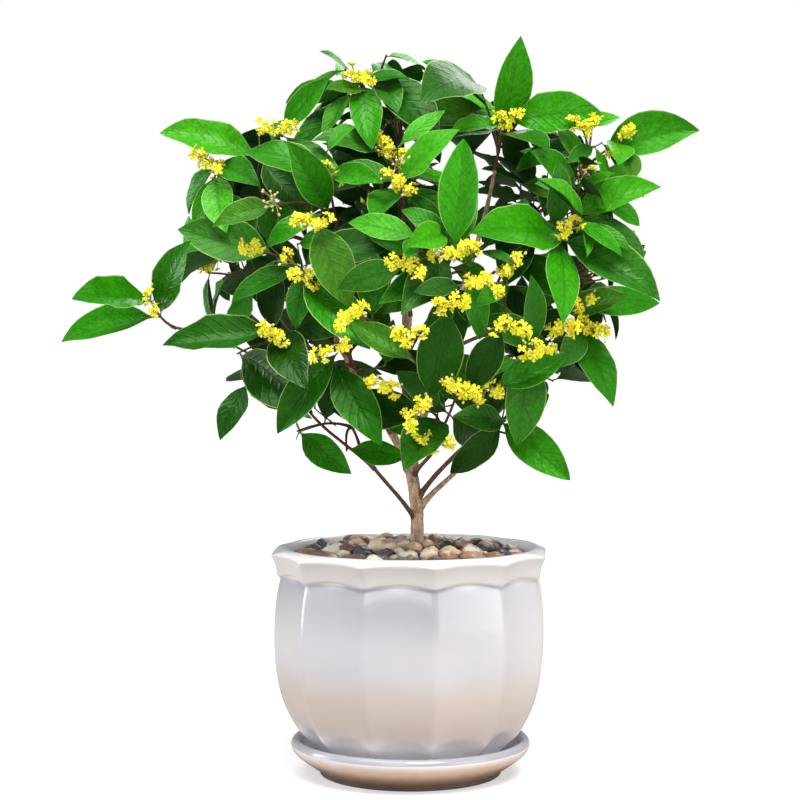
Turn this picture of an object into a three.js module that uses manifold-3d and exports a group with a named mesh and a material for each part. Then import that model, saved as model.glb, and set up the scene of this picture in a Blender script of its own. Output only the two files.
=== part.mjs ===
// A sweet osmanthus shrub in bloom, in a white fluted pot that stands on a round saucer.
// Millimetres, +Z up. The origin is at the middle of the saucer's flat underside.
import * as THREE from 'three';
import { mergeVertices } from 'three/addons/utils/BufferGeometryUtils.js';
import Module from 'manifold-3d';

const wasm = await Module();
wasm.setup();

// Driving dimensions
const GAP = 0.3;
const SEED = 53689;

const SAUCER = {
  foot: 74, footHeight: 4, rim: 97.5, height: 30, roll: 4.6, floor: 8, floorRadius: 78,
};

const POT = {
  facets: 12,
  facing: 10,
  base: 62,
  belly: 112,
  neck: 106.5,
  lip: 113,
  mouth: 100,
  height: 176,
  floor: 9,
  lipDip: 3.4,
  collar: 22,
  collarArch: 6,
  facetHollow: 0.008,
};

const SOIL_TOP = 162;
const PEBBLE = { least: 10, most: 14, bed: 9.5, middle: 176, rings: 3, ringPitch: 27, pitch: 35 };

const TRUNK = { foot: 9.2, base: 5.7, fork: 5.0, height: 86, lean: -4.5, start: [4.5, 0] };

const LEAF = {
  length: 80,
  vary: 0.2,
  width: 0.45,
  thickness: 1.6,
  droop: 0.75,
  stations: [0.4, 0.75],
  halfWidths: [0.97, 0.68],
};

const TWIG = { radius: 1.5, end: 0.9, pitch: 19, steps: 3, node: 1.5, tries: 6, sway: 0.12 };
const BLOSSOM = { size: 13, flat: 0.75, spread: 4 };
const CROWN = { centre: [5, 5, 412], reach: [198, 178, 172], below: 1.3 };
const HEART = new THREE.Vector3(5, 20, 385);
const UP = new THREE.Vector3(0, 0, 1);
const FRONT = new THREE.Vector3(0, -1, 0);
const TURN = 2 * Math.PI;

// The rule's shoots: how far the stem runs past its bough, the shoots' lengths and spread as a least
// value and what chance adds, the angle from one to the next, and the share that carries blossom
const SHOOT = { stem: 16, length: [40, 30], spread: [0.55, 0.5], step: 2.4, blooming: 0.15 };

// The rule's pairs of leaves: the angle from the shoot's axis, what each node further back adds, how
// freely both angles vary, how far the pairs sink, and how much shorter each new try is
const PAIR = { open: 0.85, opener: 0.3, loose: 0.25, sink: 0.12, tries: 5, shorter: 0.07 };

// How a leaf that is aimed at the outline may bend, and how far its tip may shift to the front
const AIM_TRIES = [[0.8, 0], [1.1, 0], [0.5, 0], [0.7, 12], [0.7, -12], [1.1, 24], [0.4, 24], [0.8, -24]];
const CROWDING = 25;

// The part of a leaf next to its root that may touch its own shoot
const ROOT_SHARE = 0.2;

// Boughs, each one tapering limb: the limb it leaves, how far along that, its tip and its two radii
const BOUGHS = {
  low_left: { from: 'trunk', at: 0.47, tip: [-41, -38, 270], radii: [1.9, 1.3] },
  low_right: { from: 'trunk', at: 0.58, tip: [48, -15, 261], radii: [2.6, 1.6] },
  right_outer: { from: 'trunk', at: 0.68, tip: [82, -50, 315], radii: [2.2, 1.4] },
  left_upper: { from: 'trunk', at: 0.97, tip: [-73, -40, 385], radii: [3.8, 1.6] },
  centre_upper: { from: 'trunk', at: 0.98, tip: [-6, -45, 444], radii: [4, 1.5] },
  top: { from: 'trunk', at: 0.97, tip: [68, 2, 488], radii: [3.8, 1.5] },
  back: { from: 'trunk', at: 0.95, tip: [0, 95, 415], radii: [3.4, 1.5] },
  bottom_centre: { from: 'trunk', at: 0.9, tip: [20, -32, 268], radii: [2, 1.4] },
  far_left: { from: 'low_left', at: 0.7, tip: [-84, -30, 300], radii: [1.4, 1.1] },
  lower_left: { from: 'left_upper', at: 0.22, tip: [-38, -72, 318], radii: [1.9, 1.3] },
  left_middle: { from: 'left_upper', at: 0.45, tip: [-84, -50, 338], radii: [2, 1.3] },
  upper_left: { from: 'left_upper', at: 0.75, tip: [-118, -8, 464], radii: [1.9, 1.2] },
  centre_left: { from: 'left_upper', at: 0.62, tip: [-57, -52, 428], radii: [1.9, 1.2] },
  centre_lower: { from: 'centre_upper', at: 0.26, tip: [-12, -82, 340], radii: [2, 1.3] },
  centre: { from: 'centre_upper', at: 0.46, tip: [22, -78, 386], radii: [2, 1.3] },
  top_left: { from: 'centre_upper', at: 0.72, tip: [-31, -2, 516], radii: [1.9, 1.2] },
  right_middle: { from: 'top', at: 0.3, tip: [103, -25, 352], radii: [2.1, 1.3] },
  centre_right: { from: 'top', at: 0.42, tip: [60, -68, 380], radii: [2, 1.3] },
  right_upper: { from: 'top', at: 0.55, tip: [107, -32, 418], radii: [2, 1.3] },
  top_right: { from: 'top', at: 0.72, tip: [131, 4, 478], radii: [1.9, 1.2] },
  side_left: { from: 'left_upper', at: 0.33, tip: [-112, 34, 378], radii: [1.9, 1.2] },
  side_right: { from: 'top', at: 0.38, tip: [116, 40, 384], radii: [1.9, 1.2] },
  back_low_left: { from: 'back', at: 0.28, tip: [-62, 72, 322], radii: [2, 1.3] },
  back_low_right: { from: 'back', at: 0.34, tip: [66, 72, 318], radii: [2, 1.3] },
  back_left: { from: 'back', at: 0.55, tip: [-78, 78, 420], radii: [1.9, 1.2] },
  back_right: { from: 'back', at: 0.62, tip: [84, 76, 424], radii: [1.9, 1.2] },
  back_top: { from: 'back', at: 0.75, tip: [-8, 62, 498], radii: [1.8, 1.2] },
};

// Masses of foliage, each on the bough of its name. Nodes are shoot ends that carry blossom, tips are
// leaf tips that mark the crown's outline, and shoots counts the others, which the seeded rule places.
const MASSES = {
  top_left: {
    nodes: [[-39, -30, 555]],
    tips: [[-71, -60, 576], [-96, -50, 541], [-1, -50, 556], [14, 0, 567], [-10, -75, 527]],
    shoots: 1,
  },
  top: {
    nodes: [[76, -20, 524]],
    tips: [[87, -30, 592], [9, -45, 570], [7, -80, 533], [151, -40, 529], [106, -80, 497]],
    shoots: 2,
  },
  top_right: {
    nodes: [[166, 0, 510], [135, -30, 519]],
    tips: [[231, -15, 520], [190, -50, 493], [169, -5, 530]],
    shoots: 2,
  },
  right_upper: {
    nodes: [[112, -80, 430]],
    tips: [[195, -60, 472], [192, -90, 382], [44, -130, 432], [114, -120, 364]],
    shoots: 2,
  },
  right_middle: {
    nodes: [[126, -70, 383], [137, -50, 362]],
    tips: [[169, -60, 387], [199, -30, 381], [157, -70, 300]],
    shoots: 1,
  },
  right_outer: {
    nodes: [[92, -100, 346], [60, -100, 314]],
    tips: [[121, -60, 342], [81, -110, 270], [54, -130, 287]],
    shoots: 1,
  },
  low_right: {
    nodes: [],
    spurs: [[74, -60, 289], [52, -34, 274]],
    tips: [[124, -70, 243], [30, -40, 245], [96, -20, 262]],
    shoots: 1,
  },
  bottom_centre: {
    nodes: [[7, -115, 299], [36, -120, 318]],
    tips: [[-6, -130, 255], [-38, -60, 252]],
    shoots: 1,
  },
  low_left: {
    nodes: [],
    tips: [[-46, -60, 248], [-93, -50, 278]],
    shoots: 2,
  },
  lower_left: {
    nodes: [[-21, -115, 322], [-59, -130, 348]],
    tips: [[-102, -110, 281], [-22, -125, 273]],
    shoots: 1,
  },
  far_left: {
    stem: [-190, -30, 362],
    nodes: [[-206, -30, 383]],
    spurs: [[-130, -32, 317]],
    tips: [[-260, -85, 384], [-282, -5, 350], [-172, -60, 430], [-138, 10, 430], [-150, -50, 273]],
    shoots: 0,
  },
  left_middle: {
    nodes: [[-102, -90, 359]],
    tips: [[-192, -80, 348], [-77, -130, 315], [-74, -110, 297]],
    shoots: 2,
  },
  left_upper: {
    nodes: [[-118, -75, 420], [-84, -100, 405]],
    tips: [[-172, -80, 422], [-183, -50, 439]],
    shoots: 1,
  },
  upper_left: {
    nodes: [[-155, -20, 490], [-100, -50, 512]],
    tips: [[-199, -30, 516], [-169, -40, 468], [-147, -60, 462]],
    shoots: 2,
  },
  centre_left: {
    nodes: [[-72, -110, 443], [-64, -80, 480]],
    tips: [[-93, -110, 502]],
    shoots: 1,
  },
  centre_upper: {
    nodes: [[-10, -100, 470]],
    tips: [[-28, -130, 439]],
    shoots: 2,
  },
  centre: {
    nodes: [[32, -130, 418], [-4, -140, 407], [28, -140, 379]],
    tips: [[39, -120, 503], [-24, -150, 380]],
    shoots: 1,
  },
  centre_lower: {
    nodes: [[-2, -145, 358], [-41, -140, 371]],
    tips: [[13, -160, 347], [-45, -130, 365]],
    shoots: 1,
  },
  centre_right: {
    nodes: [[71, -120, 407], [69, -130, 362]],
    tips: [],
    shoots: 1,
  },
  side_left: { nodes: [], tips: [], shoots: 3 },
  side_right: { nodes: [], tips: [], shoots: 3 },
  back: { nodes: [], tips: [], shoots: 4 },
  back_left: { nodes: [], tips: [], shoots: 4 },
  back_right: { nodes: [], tips: [], shoots: 4 },
  back_top: { nodes: [], tips: [], shoots: 4 },
  back_low_left: { nodes: [], tips: [], shoots: 4 },
  back_low_right: { nodes: [], tips: [], shoots: 4 },
};

const materials = {
  glaze: new THREE.MeshStandardMaterial({ color: 0xe4e1e4, roughness: 0.12, metalness: 0 }),
  soil: new THREE.MeshStandardMaterial({ color: 0x2a1c14, roughness: 0.95, metalness: 0 }),
  pebble: new THREE.MeshStandardMaterial({ color: 0x9a7a5c, roughness: 0.5, metalness: 0 }),
  bark: new THREE.MeshStandardMaterial({ color: 0xa07a58, roughness: 0.85, metalness: 0 }),
  foliage: new THREE.MeshStandardMaterial({ color: 0x1f7a12, roughness: 0.4, metalness: 0 }),
};

const plant = new THREE.Group();

// Repeatable random numbers from 0 to 1
function seeded(seed) {
  let state = (seed * 7919 + SEED) % 2147483647;
  return () => {
    state = (state * 16807) % 2147483647;
    return state / 2147483647;
  };
}

function atLeast([least, more], random) {
  return least + more * random();
}

function vec(list) {
  return new THREE.Vector3(list[0], list[1], list[2]);
}

function mixed(a, weightA, b, weightB) {
  return a.clone().multiplyScalar(weightA).addScaledVector(b, weightB);
}

// Closed geometry to solid and back
function solidOf(geometry) {
  const bare = geometry.clone();
  bare.deleteAttribute('normal');
  bare.deleteAttribute('uv');
  const welded = mergeVertices(bare, 1e-4);
  const mesh = new wasm.Mesh({
    numProp: 3,
    vertProperties: new Float32Array(welded.attributes.position.array),
    triVerts: new Uint32Array(welded.index.array),
  });
  return new wasm.Manifold(mesh);
}

function geometryOf(solid) {
  const mesh = solid.getMesh();
  const geometry = new THREE.BufferGeometry();
  geometry.setAttribute('position', new THREE.BufferAttribute(mesh.vertProperties, 3));
  geometry.setIndex(new THREE.BufferAttribute(mesh.triVerts, 1));
  geometry.computeVertexNormals();
  return geometry;
}

function addPart(name, geometry, material) {
  const mesh = new THREE.Mesh(geometry, material);
  mesh.name = name;
  plant.add(mesh);
}

// The largest body of a solid, without the loose scraps that a cut leaves
function largestBody(solid) {
  const bodies = solid.decompose();
  bodies.sort((a, b) => b.volume() - a.volume());
  return bodies[0];
}

function indexedSolid(points, faces) {
  const geometry = new THREE.BufferGeometry();
  geometry.setAttribute('position', new THREE.Float32BufferAttribute(points.flatMap((p) => p.toArray()), 3));
  geometry.setIndex(faces.flat());
  return solidOf(geometry);
}

// A round or faceted limb along a curve, its radius a function of the fraction along it
function limbSolid(curve, radiusAt, sides, steps) {
  const frames = curve.computeFrenetFrames(steps, false);
  const points = [];
  for (let i = 0; i <= steps; i += 1) {
    const centre = curve.getPointAt(i / steps);
    const radius = radiusAt(i / steps);
    for (let k = 0; k < sides; k += 1) {
      const angle = (TURN * k) / sides;
      const across = mixed(frames.normals[i], Math.cos(angle), frames.binormals[i], Math.sin(angle));
      points.push(centre.clone().addScaledVector(across, radius));
    }
  }
  const faces = [];
  for (let i = 0; i < steps; i += 1) {
    for (let k = 0; k < sides; k += 1) {
      const a = i * sides + k;
      const b = i * sides + ((k + 1) % sides);
      faces.push([a, b, b + sides], [a, b + sides, a + sides]);
    }
  }
  for (let k = 1; k < sides - 1; k += 1) {
    faces.push([0, k + 1, k]);
    faces.push([steps * sides, steps * sides + k, steps * sides + k + 1]);
  }
  return indexedSolid(points, faces);
}

// Pot and saucer, turned round +Z
function turned(profile, segments) {
  const geometry = new THREE.LatheGeometry(profile, segments);
  geometry.rotateX(Math.PI / 2);
  geometry.deleteAttribute('normal');
  geometry.deleteAttribute('uv');
  return mergeVertices(geometry, 1e-4);
}

function makeSaucer() {
  const s = SAUCER;
  const lip = s.rim - s.roll;
  const profile = [
    [0, 0], [s.foot, 0], [s.foot, s.footHeight], [s.rim - 6, s.height * 0.52], [s.rim - 0.5, s.height * 0.7],
    [s.rim, s.height * 0.86], [lip, s.height], [lip - s.roll, s.height * 0.88],
    [s.floorRadius + 4, s.floor + 4], [s.floorRadius - 4, s.floor], [0, s.floor],
  ];
  const geometry = turned(profile.map(([r, z]) => new THREE.Vector2(r, z)), 28);
  addPart('saucer', geometry, materials.glaze);
}

// Outer wall of the pot, from its foot to its lip: height above the saucer's floor, radius at the
// ridges, and how much of the ridges and hollows, the lip's dip and the collar's arch each row takes
function potRows() {
  const p = POT;
  const top = p.height;
  const step = top - p.collar;
  return [
    { r: p.base, z: 0, flute: 0.6 },
    { r: p.base + 5, z: 3, flute: 0.8 },
    { r: p.belly * 0.735, z: 16, flute: 1 },
    { r: p.belly * 0.88, z: 38, flute: 1 },
    { r: p.belly * 0.97, z: 66, flute: 1 },
    { r: p.belly, z: 98, flute: 1 },
    { r: p.belly * 0.987, z: 132, flute: 1 },
    { r: p.neck + 0.5, z: step - 3, flute: 1, arch: 1 },
    { r: p.neck + 2, z: step, flute: 1, arch: 1 },
    { r: p.lip - 1.5, z: top - 7.5, flute: 1, dip: 1 },
    { r: p.lip, z: top - 3, flute: 1, dip: 1 },
    { r: p.mouth + 5, z: top - 0.3, flute: 0.3, dip: 0.2 },
    { r: p.mouth, z: top, flute: 0 },
    { r: p.mouth - 3, z: top - 4, flute: 0 },
    { r: p.mouth - 3, z: SOIL_TOP - SAUCER.floor - GAP, flute: 0 },
    { r: p.mouth + 1, z: 98, flute: 0 },
    { r: p.mouth - 2, z: 64, flute: 0 },
    { r: p.mouth - 14, z: 35, flute: 0 },
    { r: p.base - 7, z: p.floor, flute: 0 },
  ];
}

function makePot() {
  const rows = potRows();
  const segments = POT.facets * 2;
  const profile = [[0, 0], ...rows.map((row) => [row.r, row.z]), [0, POT.floor]];
  const geometry = new THREE.LatheGeometry(profile.map(([r, z]) => new THREE.Vector2(r, z)), segments);
  geometry.rotateX(Math.PI / 2);
  const place = geometry.attributes.position;
  const pitch = TURN / POT.facets;
  const ridge = THREE.MathUtils.degToRad(POT.facing);
  for (let i = 0; i <= segments; i += 1) {
    const angle = (i * pitch) / 2 + ridge - Math.PI / 2;
    const middle = i % 2;
    for (let j = 0; j < profile.length; j += 1) {
      const row = rows[j - 1] || { r: 0, z: profile[j][1], flute: 0 };
      const flat = 1 - Math.cos(pitch / 2) + POT.facetHollow;
      const r = row.r * (1 - middle * row.flute * flat);
      const dip = (row.dip || 0) * POT.lipDip * (1 - middle);
      const arch = (row.arch || 0) * POT.collarArch * middle;
      const z = SAUCER.floor + GAP + row.z - dip + arch;
      place.setXYZ(i * profile.length + j, r * Math.cos(angle), r * Math.sin(angle), z);
    }
  }
  geometry.deleteAttribute('normal');
  geometry.deleteAttribute('uv');
  addPart('pot', mergeVertices(geometry, 1e-3), materials.glaze);
}

// Soil that fills the pot inside the last rows of its outline, clear of the sloping wall
function makeSoil() {
  const inner = potRows().slice(-5).reverse();
  const base = SAUCER.floor + GAP;
  const clear = GAP * 1.6;
  const profile = [new THREE.Vector2(0, base + POT.floor + GAP)];
  for (const row of inner) {
    const rise = row === inner[0] ? GAP : 0;
    profile.push(new THREE.Vector2(row.r - clear, base + row.z + rise));
  }
  profile.push(new THREE.Vector2(0, SOIL_TOP));
  const geometry = new THREE.LatheGeometry(profile, POT.facets * 2);
  geometry.rotateX(Math.PI / 2);
  geometry.rotateZ(THREE.MathUtils.degToRad(POT.facing) - Math.PI / 2);
  geometry.deleteAttribute('normal');
  geometry.deleteAttribute('uv');
  addPart('soil', mergeVertices(geometry, 1e-3), materials.soil);
}

// A block as wide as the pot, up to the gap over the soil, that cuts what stands on it flat
function underSoil() {
  const block = new THREE.BoxGeometry(2 * POT.lip, 2 * POT.lip, 20);
  block.translate(0, 0, SOIL_TOP + GAP - 10);
  return solidOf(block);
}

// Pebbles of unlike sizes in rings round the trunk, bedded in a thin layer of grit
function makePebbles(trunkGuard) {
  const random = seeded(11);
  const reach = POT.mouth - 3 - GAP * 3;
  const bedGeometry = new THREE.CylinderGeometry(reach, reach, PEBBLE.bed, POT.facets * 2);
  bedGeometry.rotateX(Math.PI / 2);
  bedGeometry.translate(0, 0, SOIL_TOP + GAP + PEBBLE.bed / 2);
  const stones = [solidOf(bedGeometry)];
  for (let ring = 0; ring < PEBBLE.rings; ring += 1) {
    const radius = PEBBLE.ringPitch * (ring + 0.9);
    const count = Math.round((TURN * radius) / PEBBLE.pitch);
    for (let k = 0; k < count; k += 1) {
      const angle = ((k + 0.5 * (ring % 2) + 0.3 * random()) * TURN) / count;
      const size = PEBBLE.least + (PEBBLE.most - PEBBLE.least) * random();
      const geometry = new THREE.IcosahedronGeometry(size, 0);
      geometry.scale(1, 0.72 + 0.2 * random(), 0.55 + 0.15 * random());
      geometry.rotateX(0.5 * (random() - 0.5));
      geometry.rotateZ(Math.PI * random());
      const out = Math.min(radius, reach - size - 1);
      const height = PEBBLE.middle + 3 * random() - 0.02 * radius;
      geometry.translate(out * Math.cos(angle), out * Math.sin(angle), height);
      stones.push(solidOf(geometry));
    }
  }
  const bed = wasm.Manifold.union(stones).subtract(trunkGuard).subtract(underSoil());
  addPart('pebbles', geometryOf(largestBody(bed)), materials.pebble);
}

// Trunk and boughs
const limbs = {};

// A leaning trunk with a root flare, cut flat at the soil
function makeTrunk() {
  const [x, y] = TRUNK.start;
  const foot = SOIL_TOP + GAP;
  const curve = new THREE.CatmullRomCurve3([
    new THREE.Vector3(x, y, foot),
    new THREE.Vector3(x + 0.8, y + 0.5, foot + TRUNK.height * 0.3),
    new THREE.Vector3(x + 0.4, y - 0.5, foot + TRUNK.height * 0.65),
    new THREE.Vector3(x + TRUNK.lean, y, foot + TRUNK.height),
  ]);
  const radiusAt = (t) => {
    const flare = (TRUNK.foot - TRUNK.base) * Math.max(0, 1 - t / 0.22) ** 2;
    return TRUNK.base + (TRUNK.fork - TRUNK.base) * t + flare;
  };
  limbs.trunk = {
    curve,
    radiusAt,
    solid: limbSolid(curve, radiusAt, 10, 9).subtract(underSoil()),
    guard: limbSolid(curve, (t) => radiusAt(t) + GAP, 10, 9),
  };
}

// A bough that tapers from its parent to its tip. The parent and earlier limbs are cut out of it with
// the gap, so that it starts clear of them.
function makeBough(name) {
  const bough = BOUGHS[name];
  const parent = limbs[bough.from];
  const start = parent.curve.getPointAt(bough.at);
  const tip = vec(bough.tip);
  const reach = start.distanceTo(tip);
  const towards = tip.clone().sub(start).normalize();
  const leaving = mixed(parent.curve.getTangentAt(bough.at), 0.2, towards, 0.8).normalize();
  const arriving = mixed(UP, 0.35, towards, 0.65).normalize();
  const curve = new THREE.CubicBezierCurve3(
    start,
    start.clone().addScaledVector(leaving, reach * 0.35),
    tip.clone().addScaledVector(arriving, -reach * 0.3),
    tip,
  );
  const [thick, thin] = bough.radii;
  const radiusAt = (t) => thick + (thin - thick) * t;
  const main = bough.from === 'trunk' && reach > 110;
  const sides = main ? 6 : 4;
  const steps = main ? 7 : 4;
  let solid = limbSolid(curve, radiusAt, sides, steps);
  for (const other of Object.values(limbs)) {
    solid = solid.subtract(other.guard);
  }
  limbs[name] = {
    curve,
    radiusAt,
    solid: largestBody(solid),
    guard: limbSolid(curve, (t) => radiusAt(t) + GAP, sides, steps),
  };
}

// Leaf: a folded blade that arches away from its upper side, on a midrib that is an arc
function leafFrame(root, towards, face, length, bend) {
  const side = towards.clone().cross(face).normalize();
  const normal = side.clone().cross(towards).normalize();
  return { root, towards, side, normal, length, bend };
}

// The same, from its root to a given tip
function leafToTip(root, tip, face, bend) {
  const chord = tip.clone().sub(root);
  const straight = leafFrame(root, chord.clone().normalize(), face, 0, bend);
  const towards = mixed(straight.towards, Math.cos(bend / 2), straight.normal, Math.sin(bend / 2));
  const length = (chord.length() * bend) / 2 / Math.sin(bend / 2);
  return leafFrame(root, towards, straight.normal, length, bend);
}

// A place on the midrib, as a fraction of its length
function leafPlace(leaf, t) {
  const turn = leaf.bend * t;
  const out = (Math.sin(turn) / leaf.bend) * leaf.length;
  const down = ((1 - Math.cos(turn)) / leaf.bend) * leaf.length;
  return leaf.root.clone().addScaledVector(leaf.towards, out).addScaledVector(leaf.normal, -down);
}

// A closed blade of three edges. The swell grows it on all sides, and the trim leaves out its root.
function leafSolid(leaf, swell, trim) {
  const { towards, side, normal, length, bend } = leaf;
  const points = [leafPlace(leaf, trim)];
  const stations = LEAF.stations.map((t, i) => ({ t, width: LEAF.halfWidths[i] }));
  for (const { t, width } of stations.filter((station) => station.t > trim)) {
    const centre = leafPlace(leaf, t);
    const up = mixed(normal, Math.cos(bend * t), towards, Math.sin(bend * t));
    const half = (length * LEAF.width * width) / 2 + 2 * swell;
    points.push(centre.clone().addScaledVector(side, half).addScaledVector(up, swell));
    points.push(centre.clone().addScaledVector(up, -LEAF.thickness - swell));
    points.push(centre.clone().addScaledVector(side, -half).addScaledVector(up, swell));
  }
  points.push(leafPlace(leaf, 1 + swell / length));
  const faces = [];
  const last = points.length - 1;
  for (let k = 0; k < 3; k += 1) {
    const next = (k + 1) % 3;
    faces.push([0, 1 + next, 1 + k]);
    for (let a = 1; a < last - 3; a += 3) {
      faces.push([a + k, a + next, a + 3 + next], [a + k, a + 3 + next, a + 3 + k]);
    }
    faces.push([last - 3 + k, last - 3 + next, last]);
  }
  return indexedSolid(points, faces);
}

// What has grown so far. Each thing keeps its mass, its shoot, its solid and a ball round it.
const grown = [];

function ballOf(solid) {
  const { min, max } = solid.boundingBox();
  const low = vec(min);
  const high = vec(max);
  return { centre: mixed(low, 0.5, high, 0.5), radius: low.distanceTo(high) / 2 };
}

function meets(guard, ball, other) {
  if (ball.centre.distanceTo(other.ball.centre) > ball.radius + other.ball.radius) {
    return false;
  }
  const shared = guard.intersect(other.solid);
  const touching = !shared.isEmpty();
  shared.delete();
  return touching;
}

function keep(mass, shoot, solid) {
  grown.push({ mass, shoot, solid, ball: ballOf(solid) });
}

// A twig of three sides from its mass's stem to its node, bent more at each try until it is clear. It
// returns the twig's joints.
function growTwig(mass, shoot, start, leaving, node, radii, random) {
  const reach = start.distanceTo(node);
  for (let attempt = 0; attempt < TWIG.tries; attempt += 1) {
    const sway = new THREE.Vector3(random() - 0.5, random() - 0.5, random() - 0.5);
    const middle = start.clone().addScaledVector(leaving, reach * 0.45);
    middle.addScaledVector(sway, reach * TWIG.sway * (attempt + 1));
    const curve = new THREE.QuadraticBezierCurve3(start, middle, node);
    const radiusAt = (t) => radii[0] + (radii[1] - radii[0]) * t;
    const steps = Math.max(1, Math.min(TWIG.steps, Math.round(reach / TWIG.pitch)));
    const guard = limbSolid(curve, (t) => radiusAt(t) + GAP, 3, steps);
    const ball = ballOf(guard);
    const blocked = grown.some((other) => other.mass !== mass && meets(guard, ball, other));
    if (!blocked) {
      keep(mass, shoot, limbSolid(curve, radiusAt, 3, steps));
      return curve.getSpacedPoints(steps);
    }
  }
  return null;
}

// A leaf, if it is clear of other masses and limbs, and but for its root of its own mass's twigs and of
// its own shoot's leaves
function growLeaf(mass, shoot, leaf) {
  const guard = leafSolid(leaf, GAP, 0);
  const trimmed = leafSolid(leaf, GAP, ROOT_SHARE);
  const ball = ballOf(guard);
  const blocked = grown.some((other) => {
    if (other.shoot === shoot) {
      return other.isLeaf && meets(trimmed, ball, { solid: other.trimmed, ball: other.ball });
    }
    return meets(other.mass === mass && !other.isLeaf ? trimmed : guard, ball, other);
  });
  if (blocked) {
    return false;
  }
  const solid = leafSolid(leaf, 0, 0);
  grown.push({ mass, shoot, solid, trimmed, isLeaf: true, ball });
  return true;
}

// Blossom round the end of a shoot
function growBlossom({ mass, label, joints, random }) {
  const end = joints[joints.length - 1];
  const place = end.clone().addScaledVector(outward(end), BLOSSOM.spread);
  const geometry = new THREE.OctahedronGeometry(BLOSSOM.size * (0.85 + 0.3 * random()));
  geometry.scale(1, BLOSSOM.flat, BLOSSOM.flat);
  geometry.rotateY(0.8 * (random() - 0.5));
  geometry.rotateZ(0.8 * (random() - 0.5));
  geometry.translate(place.x, place.y, place.z);
  const solid = solidOf(geometry);
  const ball = ballOf(solid);
  if (!grown.some((other) => other.mass !== mass && meets(solid, ball, other))) {
    keep(mass, label, solid);
  }
}

// Away from the heart of the crown
function outward(place) {
  return place.clone().sub(HEART).normalize();
}

// Which way the upper side of a leaf looks: out of the crown, up to the light, and to the front where
// the leaf is on that side
function facing(place) {
  const near = Math.max(0, Math.min(1, 0.6 - place.y / 120));
  return mixed(outward(place), 0.55, UP, 0.5).addScaledVector(FRONT, 0.9 * near).normalize();
}

// Whether a place lies in the crown's space
function inCrown(place) {
  const [x, y, z] = CROWN.centre;
  const [across, deep, high] = CROWN.reach;
  const level = Math.abs(place.z - z) / high;
  const taken = place.z < z ? level ** CROWN.below : level ** 2;
  return ((place.x - x) / across) ** 2 + ((place.y - y) / deep) ** 2 + taken < 1;
}

// The stem of a mass and its shoots: first those that carry blossom, then those of the rule
function growShoots(name, index) {
  const mass = MASSES[name];
  const limb = limbs[name];
  const random = seeded(index + 1);
  const end = limb.curve.getPoint(1);
  const heading = limb.curve.getTangent(1);
  const start = end.clone().addScaledVector(heading, GAP);
  const stemEnd = mass.stem ? vec(mass.stem) : start.clone().addScaledVector(heading, SHOOT.stem);
  const radii = [limb.radiusAt(1), TWIG.radius];
  const stem = growTwig(name, `${name}_stem`, start, heading, stemEnd, radii, random);
  const ends = mass.nodes.map((node) => ({ node: vec(node), bloom: true }));
  for (const spur of mass.spurs || []) {
    ends.push({ node: vec(spur), bloom: false });
  }
  for (let k = 0; k < mass.shoots; k += 1) {
    const turn = SHOOT.step * k + TURN * random();
    const out = mixed(outward(stemEnd), 0.8, UP, 0.35).normalize();
    const across = out.clone().cross(UP).normalize();
    const rise = out.clone().cross(across);
    const spread = atLeast(SHOOT.spread, random);
    const away = mixed(across, Math.cos(turn) * spread, rise, Math.sin(turn) * spread).add(out).normalize();
    const node = stemEnd.clone().addScaledVector(away, atLeast(SHOOT.length, random));
    ends.push({ node, bloom: random() < SHOOT.blooming });
  }
  const shoots = [];
  ends.forEach(({ node, bloom }, k) => {
    const from = nearestOn(stem, node);
    const leaving = mixed(from.tangent, 0.5, node.clone().sub(from.place).normalize(), 0.5).normalize();
    const label = `${name}_${k}`;
    const joints = growTwig(name, label, from.place, leaving, node, [TWIG.radius, TWIG.end], random);
    if (joints) {
      shoots.push({ mass: name, label, joints, bloom, random, nodes: nodesOf(joints, bloom ? 3 : 2) });
    }
  });
  return shoots;
}

// The place on a stem from which the twig to a node leaves
function nearestOn(stem, node) {
  let best = null;
  for (let i = 1; i < stem.length; i += 1) {
    const place = mixed(stem[i - 1], 0.1, stem[i], 0.9);
    const distance = place.distanceTo(node);
    if (!best || distance < best.distance) {
      best = { distance, place, tangent: stem[i].clone().sub(stem[i - 1]).normalize() };
    }
  }
  return best;
}

// Nodes of a shoot: just short of its end and at the joints before that
function nodesOf(joints, most) {
  const nodes = [];
  for (let k = joints.length - 1; k > 0 && nodes.length < most; k -= 1) {
    const axis = joints[k].clone().sub(joints[k - 1]).normalize();
    const back = nodes.length ? 0 : TWIG.node;
    nodes.push({ place: joints[k].clone().addScaledVector(axis, -back), axis, leaves: 0 });
  }
  return nodes;
}

// Leaves whose tips mark the outline, each from the node that suits its length and has fewest leaves
function growAimedLeaves(name, shoots) {
  for (const tip of MASSES[name].tips.map(vec)) {
    let best = null;
    for (const shoot of shoots) {
      for (const node of shoot.nodes) {
        const distance = node.place.distanceTo(tip);
        const misfit = Math.abs(distance - LEAF.length) + CROWDING * node.leaves;
        if (!best || misfit < best.misfit) {
          best = { shoot, node, misfit };
        }
      }
    }
    for (const [bend, shift] of AIM_TRIES) {
      const leaf = leafToTip(best.node.place, tip.clone().addScaledVector(FRONT, shift), facing(tip), bend);
      if (growLeaf(name, best.shoot.label, leaf)) {
        best.node.leaves += 1;
        break;
      }
    }
  }
}

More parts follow.
